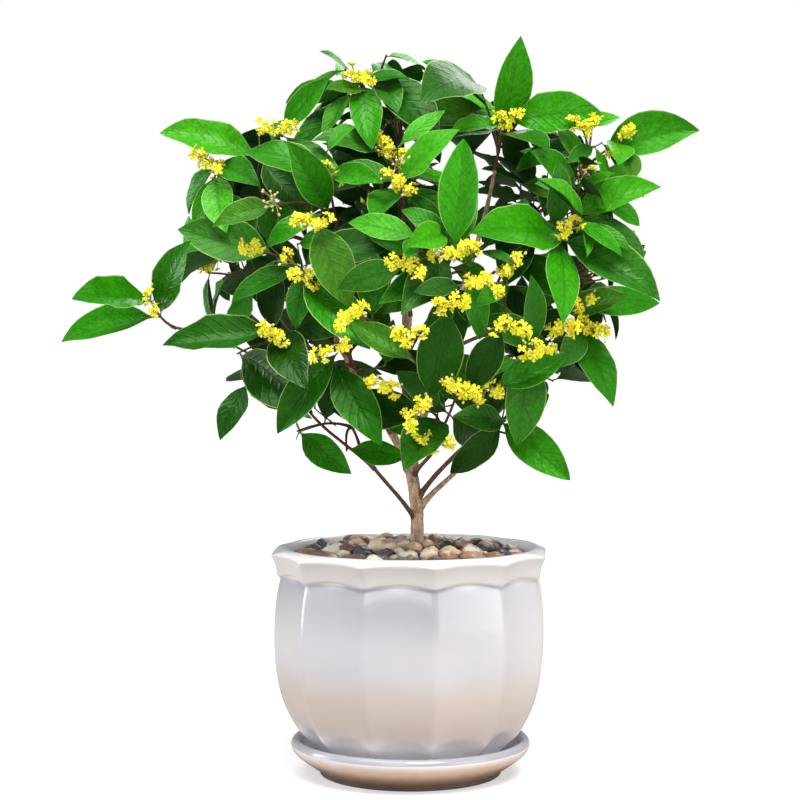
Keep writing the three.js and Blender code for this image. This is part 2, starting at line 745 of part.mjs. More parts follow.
// Opposite pairs of leaves, each pair turned a quarter from the next
function growPairs(shoot) {
  const { random } = shoot;
  const roll = TURN * random();
  shoot.nodes.forEach((node, k) => {
    const level = node.axis.clone().cross(UP).normalize();
    const rise = level.clone().cross(node.axis);
    const halves = [0, Math.PI].slice(Math.min(2, node.leaves));
    for (const half of halves) {
      for (let attempt = 0; attempt < PAIR.tries; attempt += 1) {
        const loose = PAIR.loose * (attempt + 1);
        const turn = roll + half + (k * Math.PI) / 2 + 2 * loose * (random() - 0.5);
        const away = mixed(level, Math.cos(turn), rise, Math.sin(turn));
        const open = PAIR.open + PAIR.opener * k + loose * (random() - 0.5);
        const towards = mixed(node.axis, Math.cos(open), away, Math.sin(open));
        towards.addScaledVector(UP, -PAIR.sink);
        const length = LEAF.length * (1 + LEAF.vary * (2 * random() - 1)) * (1 - PAIR.shorter * attempt);
        const bend = LEAF.droop * (0.6 + 0.9 * random());
        const leaf = leafFrame(node.place, towards.normalize(), facing(node.place), length, bend);
        const inside = inCrown(leafPlace(leaf, 0.6)) && inCrown(leafPlace(leaf, 1));
        if (inside && growLeaf(shoot.mass, shoot.label, leaf)) {
          break;
        }
      }
    }
  });
}

makeSaucer();
makePot();
makeSoil();
makeTrunk();
makePebbles(limbs.trunk.guard);
Object.keys(BOUGHS).forEach(makeBough);
for (const [name, limb] of Object.entries(limbs)) {
  keep('limbs', name, limb.solid);
}

const shootsOf = {};
Object.keys(MASSES).forEach((name, index) => {
  shootsOf[name] = growShoots(name, index);
});
for (const shoots of Object.values(shootsOf)) {
  for (const shoot of shoots.filter(({ bloom }) => bloom)) {
    growBlossom(shoot);
  }
}
Object.keys(MASSES).forEach((name) => growAimedLeaves(name, shootsOf[name]));
for (const shoots of Object.values(shootsOf)) {
  shoots.forEach(growPairs);
}

addPart('trunk', geometryOf(limbs.trunk.solid), materials.bark);
for (const name of Object.keys(BOUGHS)) {
  addPart(`bough_${name}`, geometryOf(limbs[name].solid), materials.bark);
}
for (const name of Object.keys(MASSES)) {
  const pieces = grown.filter((thing) => thing.mass === name).map((thing) => thing.solid);
  addPart(`foliage_${name}`, geometryOf(largestBody(wasm.Manifold.union(pieces))), materials.foliage);
}

export default plant;
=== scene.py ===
"""A sweet osmanthus shrub in bloom, in a white fluted pot on a round saucer.

The shrub grows by the rule of its solid model: the same limbs, twigs, leaf places and blossom, from the
same seed, and then finer twigs and smaller leaves within the same crown. Growth is reckoned in
millimetres, and every mesh is made in metres. +Z is up and the viewer is on the -Y side.
"""
from bisect import bisect_right
from collections import Counter
from math import atan2, cos, exp, pi, radians, sin, sqrt

import bpy
from mathutils import Matrix, Vector, noise
from mathutils.bvhtree import BVHTree
from mathutils.geometry import interpolate_bezier


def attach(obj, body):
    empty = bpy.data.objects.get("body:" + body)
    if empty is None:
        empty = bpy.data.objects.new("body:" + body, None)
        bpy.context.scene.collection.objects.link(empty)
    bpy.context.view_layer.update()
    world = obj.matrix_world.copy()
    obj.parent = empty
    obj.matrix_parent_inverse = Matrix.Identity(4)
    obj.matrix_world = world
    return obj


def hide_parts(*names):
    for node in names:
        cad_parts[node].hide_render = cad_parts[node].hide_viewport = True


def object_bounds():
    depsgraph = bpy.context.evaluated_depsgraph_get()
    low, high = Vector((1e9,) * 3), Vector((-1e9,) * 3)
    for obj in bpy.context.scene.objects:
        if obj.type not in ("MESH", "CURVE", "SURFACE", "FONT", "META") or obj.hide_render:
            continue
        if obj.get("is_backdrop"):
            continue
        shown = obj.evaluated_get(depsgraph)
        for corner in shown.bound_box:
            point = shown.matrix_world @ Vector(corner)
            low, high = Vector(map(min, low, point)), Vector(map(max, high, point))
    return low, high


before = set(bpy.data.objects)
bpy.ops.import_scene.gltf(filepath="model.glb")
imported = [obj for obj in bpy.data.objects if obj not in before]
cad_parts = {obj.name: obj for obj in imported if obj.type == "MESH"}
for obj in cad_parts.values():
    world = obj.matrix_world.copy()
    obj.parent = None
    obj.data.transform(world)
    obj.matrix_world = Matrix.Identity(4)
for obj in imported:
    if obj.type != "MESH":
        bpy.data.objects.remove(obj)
cad_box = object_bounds()

MM = 0.001
TURN = 2 * pi
GAP = 0.3
SEED = 53689
UP = Vector((0, 0, 1))
FRONT = Vector((0, -1, 0))

# Saucer and pot, as in the solid model
SAUCER_FLOOR = 8
SAUCER_RIM_MIDDLE = 25
POT_FOOT = SAUCER_FLOOR + GAP
FACETS = 12
FIRST_RIDGE = radians(10 - 90)
BELLY = 112
MOUTH = 100
FACET_HOLLOW = 0.008
SOIL_TOP = 162

# Shrub, as in the solid model
TRUNK = {"foot": 9.2, "base": 5.7, "fork": 5.0, "height": 86, "start": (4.5, 0),
         "bends": ((0, 0, 0), (0.8, 0.5, 0.3), (0.4, -0.5, 0.65), (-4.5, 0, 1))}
LEAF = {"length": 80, "vary": 0.2, "width": 0.45, "thickness": 1.6, "droop": 0.75,
        "stations": (0.4, 0.75), "half_widths": (0.97, 0.68)}
TWIG = {"radius": 1.5, "end": 0.9, "pitch": 19, "steps": 3, "node": 1.5, "tries": 6, "sway": 0.12}
BLOSSOM = {"size": 13, "spread": 4}
CROWN = {"centre": (5, 5, 412), "reach": (198, 178, 172), "below": 1.3}
HEART = Vector((5, 20, 385))
SHOOT = {"stem": 16, "length": (40, 30), "spread": (0.55, 0.5), "step": 2.4, "blooming": 0.15}
PAIR = {"open": 0.85, "opener": 0.3, "loose": 0.25, "sink": 0.12, "tries": 5, "shorter": 0.07,
        "bend": (0.6, 0.9)}
AIM_TRIES = ((0.8, 0), (1.1, 0), (0.5, 0), (0.7, 12), (0.7, -12), (1.1, 24), (0.4, 24), (0.8, -24))
CROWDING = 25
ROOT_SHARE = 0.2

# Boughs: the limb each leaves, how far along that, its tip, its radii
BOUGHS = {
    "low_left": ("trunk", 0.47, (-41, -38, 270), (1.9, 1.3)),
    "low_right": ("trunk", 0.58, (48, -15, 261), (2.6, 1.6)),
    "right_outer": ("trunk", 0.68, (82, -50, 315), (2.2, 1.4)),
    "left_upper": ("trunk", 0.97, (-73, -40, 385), (3.8, 1.6)),
    "centre_upper": ("trunk", 0.98, (-6, -45, 444), (4, 1.5)),
    "top": ("trunk", 0.97, (68, 2, 488), (3.8, 1.5)),
    "back": ("trunk", 0.95, (0, 95, 415), (3.4, 1.5)),
    "bottom_centre": ("trunk", 0.9, (20, -32, 268), (2, 1.4)),
    "far_left": ("low_left", 0.7, (-84, -30, 300), (1.4, 1.1)),
    "lower_left": ("left_upper", 0.22, (-38, -72, 318), (1.9, 1.3)),
    "left_middle": ("left_upper", 0.45, (-84, -50, 338), (2, 1.3)),
    "upper_left": ("left_upper", 0.75, (-118, -8, 464), (1.9, 1.2)),
    "centre_left": ("left_upper", 0.62, (-57, -52, 428), (1.9, 1.2)),
    "centre_lower": ("centre_upper", 0.26, (-12, -82, 340), (2, 1.3)),
    "centre": ("centre_upper", 0.46, (22, -78, 386), (2, 1.3)),
    "top_left": ("centre_upper", 0.72, (-31, -2, 516), (1.9, 1.2)),
    "right_middle": ("top", 0.3, (103, -25, 352), (2.1, 1.3)),
    "centre_right": ("top", 0.42, (60, -68, 380), (2, 1.3)),
    "right_upper": ("top", 0.55, (107, -32, 418), (2, 1.3)),
    "top_right": ("top", 0.72, (131, 4, 478), (1.9, 1.2)),
    "side_left": ("left_upper", 0.33, (-112, 34, 378), (1.9, 1.2)),
    "side_right": ("top", 0.38, (116, 40, 384), (1.9, 1.2)),
    "back_low_left": ("back", 0.28, (-62, 72, 322), (2, 1.3)),
    "back_low_right": ("back", 0.34, (66, 72, 318), (2, 1.3)),
    "back_left": ("back", 0.55, (-78, 78, 420), (1.9, 1.2)),
    "back_right": ("back", 0.62, (84, 76, 424), (1.9, 1.2)),
    "back_top": ("back", 0.75, (-8, 62, 498), (1.8, 1.2)),
}

# Masses of foliage: ends of shoots that bloom, how many more shoots grow by the rule, and tips of leaves on
# the crown's outline. Those beside and behind grow by the rule alone.
MASSES = {
    "top_left": ([(-39, -30, 555)], 1, [(-71, -60, 576), (-96, -50, 541), (-1, -50, 556), (14, 0, 567),
        (-10, -75, 527)]),
    "top": ([(76, -20, 524)], 2, [(87, -30, 592), (9, -45, 570), (7, -80, 533), (151, -40, 529),
        (106, -80, 497)]),
    "top_right": ([(166, 0, 510), (135, -30, 519)], 2, [(231, -15, 520), (190, -50, 493), (169, -5, 530)]),
    "right_upper": ([(112, -80, 430)], 2, [(195, -60, 472), (192, -90, 382), (44, -130, 432),
        (114, -120, 364)]),
    "right_middle": ([(126, -70, 383), (137, -50, 362)], 1, [(169, -60, 387), (199, -30, 381),
        (157, -70, 300)]),
    "right_outer": ([(92, -100, 346), (60, -100, 314)], 1, [(121, -60, 342), (81, -110, 270),
        (54, -130, 287)]),
    "low_right": ([], 1, [(124, -70, 243), (30, -40, 245), (96, -20, 262)]),
    "bottom_centre": ([(7, -115, 299), (36, -120, 318)], 1, [(-6, -130, 255), (-38, -60, 252)]),
    "low_left": ([], 2, [(-46, -60, 248), (-93, -50, 278)]),
    "lower_left": ([(-21, -115, 322), (-59, -130, 348)], 1, [(-102, -110, 281), (-22, -125, 273)]),
    "far_left": ([(-206, -30, 383)], 0, [(-260, -85, 384), (-282, -5, 350), (-172, -60, 430),
        (-138, 10, 430), (-150, -50, 273)]),
    "left_middle": ([(-102, -90, 359)], 2, [(-192, -80, 348), (-77, -130, 315), (-74, -110, 297)]),
    "left_upper": ([(-118, -75, 420), (-84, -100, 405)], 1, [(-172, -80, 422), (-183, -50, 439)]),
    "upper_left": ([(-155, -20, 490), (-100, -50, 512)], 2, [(-199, -30, 516), (-169, -40, 468),
        (-147, -60, 462)]),
    "centre_left": ([(-72, -110, 443), (-64, -80, 480)], 1, [(-93, -110, 502)]),
    "centre_upper": ([(-10, -100, 470)], 2, [(-28, -130, 439)]),
    "centre": ([(32, -130, 418), (-4, -140, 407), (28, -140, 379)], 1, [(39, -120, 503), (-24, -150, 380)]),
    "centre_lower": ([(-2, -145, 358), (-41, -140, 371)], 1, [(13, -160, 347), (-45, -130, 365)]),
    "centre_right": ([(71, -120, 407), (69, -130, 362)], 1, []),
}
MASSES.update({name: ([], 3, []) for name in ("side_left", "side_right")})
MASSES.update({name: ([], 4, []) for name in ("back", "back_left", "back_right", "back_top", "back_low_left",
                                              "back_low_right")})
# The one stem that is aimed, and ends of shoots that bear leaves only
STEM_ENDS = {"far_left": (-190, -30, 362)}
SPURS = {"far_left": [(-130, -32, 317)], "low_right": [(74, -60, 289), (52, -34, 274)]}

# Leaf as it is drawn: places along it and its half width there as a share of the widest, with a stalk
# in the first two, then columns across it from edge to edge
LEAF_ROWS = ((0.0, 0), (0.075, 0), (0.12, 0.17), (0.185, 0.45), (0.27, 0.75), (0.37, 0.94), (0.47, 1.0),
             (0.58, 0.96), (0.68, 0.84), (0.77, 0.65), (0.855, 0.42), (0.935, 0.19))
LEAF_COLUMNS = (-1, -0.5, 0, 0.5, 1)
STALK_HALF = 0.75
LEAF_BODY = 0.5
CURL_FROM = 0.7

# Finer growth that the solid model leaves out: side twigs with small leaves, closer behind, where the
# masses are fewer. Leaves rooted lower than the underside are left out.
FINE = {"before": (0.3, 0.55, 0.8), "behind": (0.15, 0.3, 0.45, 0.6, 0.75, 0.9), "length": (14, 16),
        "leaf": (38, 26), "radius": (0.9, 0.6), "open": 0.9, "leaf_open": 0.8,
        "leaves": (0, pi, pi / 2, -pi / 2), "bend": (0.4, 0.6), "young": (0.6, 0.4)}
UNDERSIDE = 250

# Sprigs on shoots that don't bloom: how many shoots bear one, how many of those behind are in bloom, and
# the size of a sprig in bud and of one in bloom
SPRIG = {"shoots": 0.3, "blooming": 0.6, "sizes": (0.6, 0.95), "spread": 4, "room": 18}

# Heads of blossom: tufts in each, florets and buds in each tuft, the step and scatter of its tufts and how
# far it stands forward as shares of its size, and the length, width and height of what it bears
HEAD = {"tufts": (3, 1.6), "florets": (6, 3), "buds": (1, 2), "more_buds": 2, "step": 0.52, "scatter": 0.72,
        "forward": 0.6, "rise": 1.6, "lean": 0.9, "fork": 0.45, "stalk": (2.8, 3.2), "bud_stalk": 2.2,
        "wide": (7.2, 2.0), "cupped": (0.7, 1.1), "gold": 0.25, "tall": (1.8, 0.9)}

# A floret or bud with a leaf in reach is pushed towards the viewer, by this much and so many times at most.
# A floret's reach is a share of its width.
PUSH = 3
MOST_PUSHES = 6
FLORET_REACH = 0.42
BUD_REACH = 4

# Radii of a tuft's stalk and of a floret's, at foot and end
HEAD_STALK = (0.6, 0.4)
FLORET_STALK = (0.34, 0.26)

# Heads nearer the viewer than this depth face the camera. Of these places on such a head, as shares of its
# size, a leaf may block one, and a leaf aimed at the outline five. Tufts with a leaf this close before them
# aren't pushed.
SEEN_DEPTH = 40
SIGHTS = [Vector((x, -0.5, z)) for x in (-0.8, 0, 0.8) for z in (-0.6, 0, 0.6)]
MOST_BLOCKED = (1, 5)
LEAF_BEFORE = 40

# The photograph's camera, in pixels, then its sensor in millimetres, tilt in degrees and distance in metres.
# The trunk's axis stands a little right of the picture's middle.
PHOTO_SIZE = 800
FOCAL_PIXELS = 2041
AXIS_OFF_MIDDLE = 10.5
SENSOR = 36
TILT = 2.12
DISTANCE = 1.65
EYE = Vector((-AXIS_OFF_MIDDLE * DISTANCE / FOCAL_PIXELS, -DISTANCE, 0.364))


# Repeatable random numbers

def seeded(seed):
    """Draws between 0 and 1, the same ones as in the solid model."""
    state = (seed * 7919 + SEED) % 2147483647

    def draw():
        nonlocal state
        state = (state * 16807) % 2147483647
        return state / 2147483647

    return draw


def at_least(pair, random):
    """The first of a pair, and up to as much as the second more."""
    return pair[0] + pair[1] * random()


def scatter(random):
    return Vector((random() - 0.5, random() - 0.5, random() - 0.5))


# Directions

def polar(radius, angle, height=0.0):
    return Vector((radius * cos(angle), radius * sin(angle), height))


def swing(one, other, angle):
    """From one direction towards the other, by an angle."""
    return one * cos(angle) + other * sin(angle)


def across_axis(axis, angle):
    """A direction square to an axis, by its angle from the level one."""
    level = axis.cross(UP).normalized()
    return swing(level, level.cross(axis), angle)


# Shader maths

def maths(operation, turned=False):
    """A method that sends a wire, with another value or alone, through a maths node."""
    def method(self, *others):
        node = self.tree.nodes.new("ShaderNodeMath")
        node.operation = operation
        values = (self, *others)
        for value, socket in zip(values[::-1] if turned else values, node.inputs):
            join(self.tree, value, socket)
        return Wire(self.tree, node.outputs[0])

    return method


class Wire:
    """A node's output that adds and multiplies like a number."""

    def __init__(self, tree, socket):
        self.tree = tree
        self.socket = socket

    __add__ = __radd__ = maths("ADD")
    __sub__ = maths("SUBTRACT")
    __rsub__ = maths("SUBTRACT", turned=True)
    __mul__ = maths("MULTIPLY")
    __pow__ = maths("POWER")
    __abs__ = maths("ABSOLUTE")
    wave = maths("SINE")

    def step(self, low, high):
        """0 below low, 1 above high, and a smooth rise between them."""
        node = self.tree.nodes.new("ShaderNodeMapRange")
        node.interpolation_type = "SMOOTHSTEP"
        join(self.tree, self, node.inputs["Value"])
        node.inputs["From Min"].default_value = low
        node.inputs["From Max"].default_value = high
        return Wire(self.tree, node.outputs["Result"])


def join(tree, value, socket):
    if isinstance(value, Wire):
        tree.links.new(value.socket, socket)
    elif isinstance(value, (tuple, list)) and len(value) == 3 and socket.type == "RGBA":
        socket.default_value = (*value, 1)
    else:
        socket.default_value = value


class Finish:
    """A material with its Principled shader, and the nodes that feed it."""

    def __init__(self, name, roughness, **fixed):
        self.material = bpy.data.materials.new(name)
        self.material.use_nodes = True
        self.tree = self.material.node_tree
        self.shader = self.tree.nodes["Principled BSDF"]
        self.place = self.node("ShaderNodeTexCoord", "Object")
        self.set(Roughness=roughness, **fixed)

    def node(self, kind, output=0, **values):
        """A node of a kind, with its sockets set by name."""
        node = self.tree.nodes.new(kind)
        for key, value in values.items():
            join(self.tree, value, node.inputs[key])
        return Wire(self.tree, node.outputs[output])

    def axes(self, vector=None):
        split = self.node("ShaderNodeSeparateXYZ", Vector=vector or self.place).socket.node
        return [Wire(self.tree, out) for out in split.outputs]

    def stretched(self, *scale):
        return self.node("ShaderNodeMapping", Vector=self.place, Scale=scale)

    def cloud(self, scale, detail=3.0, roughness=0.5, place=None):
        return self.node("ShaderNodeTexNoise", Vector=place or self.place, Scale=scale, Detail=detail,
                         Roughness=roughness)

    def cells(self, scale, place=None):
        return self.node("ShaderNodeTexVoronoi", "Distance", Vector=place or self.place, Scale=scale)

    def mix(self, share, one, other):
        """From one colour to the other as the share goes from 0 to 1."""
        node = self.tree.nodes.new("ShaderNodeMix")
        node.data_type = "RGBA"
        for value, place in ((share, 0), (one, 6), (other, 7)):
            join(self.tree, value, node.inputs[place])
        return Wire(self.tree, node.outputs[2])

    def set(self, **links):
        for socket, value in links.items():
            join(self.tree, value, self.shader.inputs[socket.replace("_", " ")])

    def relief(self, height, depth, strength=1.0):
        """Bump of a height from 0 to 1 that stands for a depth in metres."""
        self.set(Normal=self.node("ShaderNodeBump", Height=height, Distance=depth, Strength=strength))


# Finishes

BLACK = (0, 0, 0)
LEAF_MAP = "leaf"


def glaze(name, tone_at):
    """Dipped white glaze with a soft gloss; its tone comes from the place, where light, shade and reflections
    are painted, and from the unevenness of the dip.
    """
    f = Finish(name, 0.18, Coat_Weight=0.35, Coat_Roughness=0.07)
    uneven = f.cloud(9.0, 2.0)
    f.set(Base_Color=tone_at(f, uneven), Roughness=0.15 + f.cloud(60.0, 2.0) * 0.08)
    f.relief(f.cloud(26.0, 2.0), 0.0012, 0.3)
    return f.material


def pot_tone(f, uneven):
    """Cool white above, greyer at the upper left in painted shade under the collar and a painted reflection
    of darker surroundings; beige in the lower half, a painted reflection of the ground; paler at foot, lip,
    inside and towards the right in painted light.
    """
    x, y, raw = f.axes()
    height = raw + uneven * 0.024 - 0.012
    # warm: beige in the lower half, a painted reflection of the ground in the glaze
    warm = height.step(0.036, 0.052) * (1 - height.step(0.070, 0.102))
    cool = f.mix(uneven.step(0.35, 0.7), (0.52, 0.525, 0.575), (0.57, 0.565, 0.59))
    # shade: greyer at the upper left, painted shade under the collar and a painted reflection of darker
    # surroundings
    shade = height.step(0.105, 0.148) * (1 - x.step(0.01, 0.09)) * (0.55 + x.step(-0.08, -0.02) * 0.45)
    cool = f.mix(shade, cool, (0.39, 0.39, 0.44))
    tone = f.mix(raw.step(0.161, 0.164), cool, (0.59, 0.58, 0.59))
    # Inside the mouth and over the lip the glaze is paler: painted light
    inside = (1 - ((x * x + y * y) ** 0.5).step(0.100, 0.104)) * raw.step(0.150, 0.165)
    tone = f.mix(1 - (1 - inside) * (1 - raw.step(0.178, 0.182)), tone, (0.92, 0.92, 0.93))
    # Paler at the foot: painted light against the shade of its undercut
    tone = f.mix(1 - height.step(0.030, 0.046), tone, (0.94, 0.92, 0.95))
    tone = f.mix(warm * 0.85, tone, (0.56, 0.485, 0.435))
    # Paler towards the right: painted light from that side
    return f.mix(x.step(0.05, 0.1) * 0.2, tone, (0.85, 0.83, 0.82))


def saucer_tone(f, uneven):
    """Pale in the hollow, and greyer over the rim in painted shade."""
    height = f.axes()[2] + uneven * 0.004 - 0.002
    return f.mix(height.step(0.018, 0.026), (0.76, 0.76, 0.80), (0.40, 0.40, 0.44))


def glaze_below():
    """The same glaze under the saucer's rim, beige and then dark brown towards the foot: a painted reflection
    of the ground, and painted shade where it meets the floor.
    """
    f = Finish("glaze_below", 0.12, Coat_Weight=0.35, Coat_Roughness=0.05)
    uneven = f.cloud(60.0)
    height = f.axes()[2] + uneven * 0.004 - 0.002
    # Near black and dark brown at the foot, beige above: painted shade and a painted reflection of the ground
    tone = f.mix(height.step(0.001, 0.008), (0.15, 0.125, 0.115), (0.30, 0.185, 0.13))
    tone = f.mix(height.step(0.007, 0.018), tone, (0.66, 0.50, 0.39))
    tone = f.mix(height.step(0.018, 0.0245), tone, (0.73, 0.71, 0.74))
    f.set(Base_Color=tone, Roughness=0.14 + f.cloud(60.0, 2.0) * 0.08)
    f.relief(uneven, 0.0004, 0.3)
    return f.material


def earth():
    f = Finish("earth", 0.95)
    crumb = f.cloud(260.0, 5.0, 0.7)
    f.set(Base_Color=f.mix(crumb.step(0.35, 0.7), (0.006, 0.004, 0.003), (0.045, 0.028, 0.018)))
    f.relief(crumb + f.cells(420.0) * 0.6, 0.002)
    return f.material


def stone(name, light, dark, band):
    """A worn pebble: two tones in uneven bands, with fine dark grains."""
    f = Finish(name, 0.42, Coat_Weight=0.5, Coat_Roughness=0.15)
    cloud = f.cloud(70.0, 4.0, 0.6)
    bands = (f.axes()[2] * band + cloud * 7.0).wave() * 0.5 + 0.5
    tone = f.mix(bands.step(0.2, 0.75), dark, light)
    grains = 1 - f.cells(1500.0).step(0.12, 0.3)
    f.set(Base_Color=f.mix(grains * 0.5, tone, toned(dark, 0.6, BLACK)), Roughness=0.38 + cloud * 0.25)
    f.relief(cloud + grains * -0.3, 0.0006, 0.6)
    return f.material


def bark(name, light, dark, pore):
    """Thin bark: grain drawn out along the limb, cracks across it and pale pores."""
    f = Finish(name, 0.8)
    grain = f.cloud(520.0, 4.0, 0.65, f.stretched(1.0, 1.0, 0.22))
    rings = f.cloud(260.0, 3.0, 0.6, f.stretched(0.35, 0.35, 1.0))
    tone = f.mix(grain.step(0.3, 0.72) * (0.45 + rings.step(0.35, 0.6) * 0.55), dark, light)
    tone = f.mix(f.cloud(45.0).step(0.4, 0.75) * 0.3, tone, toned(light, 0.45, BLACK))
    pores = 1 - f.cells(330.0, f.stretched(1.0, 1.0, 1.8)).step(0.12, 0.24)
    f.set(Base_Color=f.mix(pores * 0.6, tone, pore))
    f.relief(grain * 0.6 + rings * 0.8 + pores * 0.5, 0.0011)
    return f.material


def toned(colour, share, other):
    return tuple(Vector(colour).lerp(Vector(other), share))


def leaf_skin(name, tint):
    """Upper side of a leaf in one tint: deeper towards its stalk and in its midrib's groove, both painted
    shade, with midrib, side veins and a pale edge that is partly painted highlight.
    """
    f = Finish(name, 0.36, Specular_IOR_Level=0.34, Specular_Tint=(0.5, 1, 0.36, 1))
    map_of_leaf = f.node("ShaderNodeUVMap")
    map_of_leaf.socket.node.uv_map = LEAF_MAP
    across, along = f.axes(map_of_leaf)[:2]
    side = abs(across - 0.5) * 2
    swell = f.cloud(95.0, 2.0)
    veins = ((along * 56 - side * 13 + swell * 2).wave() * 0.5 + 0.5) ** 8.0
    groove = 1 - side.step(0.02, 0.2)
    rib = 1 - side.step(0.005, 0.035)
    fine = f.cloud(520.0)
    mottle = f.cloud(380.0, 4.0, 0.65).step(0.38, 0.62)
    deep = toned(tint, 0.6, (0.001, 0.012, 0.0))
    # Deeper towards the stalk: painted shade
    tone = f.mix(along.step(0.0, 0.6) * 0.35 + swell.step(0.3, 0.7) * 0.25 + mottle * 0.45, deep, tint)
    tone = f.mix(veins * (0.45 - side * 0.3), tone, deep)
    # The midrib's groove is darker: painted shade
    tone = f.mix(groove * 0.5, tone, deep)
    tone = f.mix(rib * 0.4, tone, toned(tint, 0.22, (0.16, 0.42, 0.05)))
    # The pale edge is partly the leaf's own margin and partly a painted highlight where edges catch light
    tone = f.mix(side.step(0.94, 0.98) * 0.75, tone, (0.36, 0.52, 0.17))
    f.set(Base_Color=tone, Roughness=0.24 + f.cloud(14.0, 1.0).step(0.35, 0.65) * 0.16 + fine * 0.1)
    f.relief((1 - veins) * 0.4 + swell * 1.6 + fine * 0.3 - groove * 0.5, 0.0007, 0.6)
    return f.material


def leaf_skins():
    """Six tints from painted shade at the heart of the crown to painted light at its rim and on its youngest
    leaves, then two dusky ones of painted sheen and an olive one.
    """
    last = len(SHADE_TO_LIGHT_LEAF_TINTS) - 1
    ladder = []
    for step in range(LEAF_STEPS):
        level = (step + 0.5) / LEAF_STEPS * last
        ladder.append(toned(SHADE_TO_LIGHT_LEAF_TINTS[int(level)], level % 1, SHADE_TO_LIGHT_LEAF_TINTS[int(level) + 1]))
    dusky = [toned(ladder[1], 0.5, PAINTED_SHEEN_GREEN), toned(ladder[3], 0.5, PAINTED_SHEEN_GREEN)]
    tints = ladder + dusky + [toned(ladder[3], 0.6, OLIVE)]
    return [leaf_skin(f"leaf_upper_{number}", tint) for number, tint in enumerate(tints)]


def plain_skin(name, colour, roughness, spread=0.25, scale=300.0, **fixed):
    """A soft skin whose tone drifts a little, for leaf backs, ribs, stalks, petals and buds."""
    f = Finish(name, roughness, **fixed)
    drift = f.cloud(scale, 2.0)
    f.set(Base_Color=f.mix(drift.step(0.3, 0.7), toned(colour, spread, BLACK), colour))
    f.relief(drift, 0.0002, 0.4)
    return f.material


# Pieces

def clear_selection():
    if bpy.context.mode != "OBJECT":
        bpy.ops.object.mode_set(mode="OBJECT")
    bpy.ops.object.select_all(action="DESELECT")


def active(piece):
    clear_selection()
    piece.select_set(True)
    bpy.context.view_layer.objects.active = piece


def basic(add, **settings):
    """A new object from one of the basic forms."""
    clear_selection()
    add(**settings)
    bpy.ops.object.transform_apply(location=True)
    return bpy.context.object


def edit_all():
    bpy.ops.object.mode_set(mode="EDIT")
    bpy.ops.mesh.select_all(action="SELECT")


def seat(piece, name, nodes=(), crease=60):
    """Names a finished piece, smooths it up to its creases, and ties it to the frame."""
    active(piece)
    bpy.ops.object.shade_smooth_by_angle(angle=radians(crease))
    bpy.ops.object.transform_apply(location=True, rotation=True, scale=True)
    piece.name = name
    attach(piece, "root")
    if nodes:
        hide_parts(*nodes)


class Bundle:
    """Many small things gathered as one mesh, in millimetres."""

    def __init__(self):
        self.points, self.faces, self.kinds, self.maps = [], [], [], []

    def add(self, points, faces, kinds=0, maps=()):
        start = len(self.points)
        self.points += points
        self.faces += [[start + corner for corner in face] for face in faces]
        self.kinds += [kinds] * len(faces) if isinstance(kinds, int) else kinds
        self.maps += [maps[corner] for face in faces for corner in face] if maps else []

    def piece(self, name, materials, slot, nodes=(), crease=60):
        mesh = bpy.data.meshes.new(name)
        mesh.from_pydata([p * MM for p in self.points], [], self.faces)
        for material in materials:
            mesh.materials.append(material)
        mesh.polygons.foreach_set("material_index", self.kinds)
        if self.maps:
            layer = mesh.uv_layers.new(name=LEAF_MAP)
            layer.data.foreach_set("uv", [value for pair in self.maps for value in pair])
        mesh.validate()
        piece = bpy.data.objects.new(name, mesh)
        bpy.context.collection.objects.link(piece)
        seat(piece, name, nodes, crease)


# Saucer, pot and soil

def ring_rows(rows, sides):
    """A form turned by hand: a circle, extruded and resized to each row. Its two ends stay open."""
    radius, height = rows[0]
    piece = basic(bpy.ops.mesh.primitive_circle_add, vertices=sides, radius=radius * MM,
                  location=(0, 0, height * MM))
    edit_all()
    bpy.ops.mesh.select_mode(type="EDGE")
    for wider, higher in rows[1:]:
        bpy.ops.mesh.extrude_edges_move(TRANSFORM_OT_translate={"value": (0, 0, (higher - height) * MM)})
        factor = wider / radius
        bpy.ops.transform.resize(value=(factor, factor, 1), center_override=(0, 0, higher * MM))
        radius, height = wider, higher
    bpy.ops.object.mode_set(mode="OBJECT")
    return piece


def smooth_and_close(piece):
    """Smooths a turned form once and then fills its two ends, which are flat and out of sight."""
    active(piece)
    modifier = piece.modifiers.new("smooth", "SUBSURF")
    modifier.levels = modifier.render_levels = 1
    bpy.ops.object.modifier_apply(modifier=modifier.name)
    edit_all()
    bpy.ops.mesh.fill_holes(sides=0)
    bpy.ops.mesh.select_all(action="SELECT")
    bpy.ops.mesh.normals_make_consistent(inside=False)
    bpy.ops.object.mode_set(mode="OBJECT")


SAUCER_ROWS = (
    (40, 0), (72.2, 0), (73.6, 0.5), (74, 1.4), (74, 3.6), (76.5, 5.2), (84, 10.4), (91, 15.2), (94.6, 18.4),
    (96.6, 21.6), (97.4, 25.0), (96.4, 28.0), (94.0, 29.7), (91.4, 29.4), (89.4, 27.2), (87.2, 22.5),
    (83.5, 16.0), (79.5, 11.2), (75.5, 8.6), (70.0, 8.0), (40, 8.0),
)
SAUCER_SIDES = 64


def make_saucer(finish, below):
    piece = ring_rows(SAUCER_ROWS, SAUCER_SIDES)
    smooth_and_close(piece)
    piece.data.materials.append(finish)
    piece.data.materials.append(below)
    for face in piece.data.polygons:
        outside = face.normal.xy.dot(face.center.xy) > 0
        face.material_index = int(outside and face.center.z < SAUCER_RIM_MIDDLE * MM or face.normal.z < -0.5)
    seat(piece, "saucer_glazed", ["saucer"])


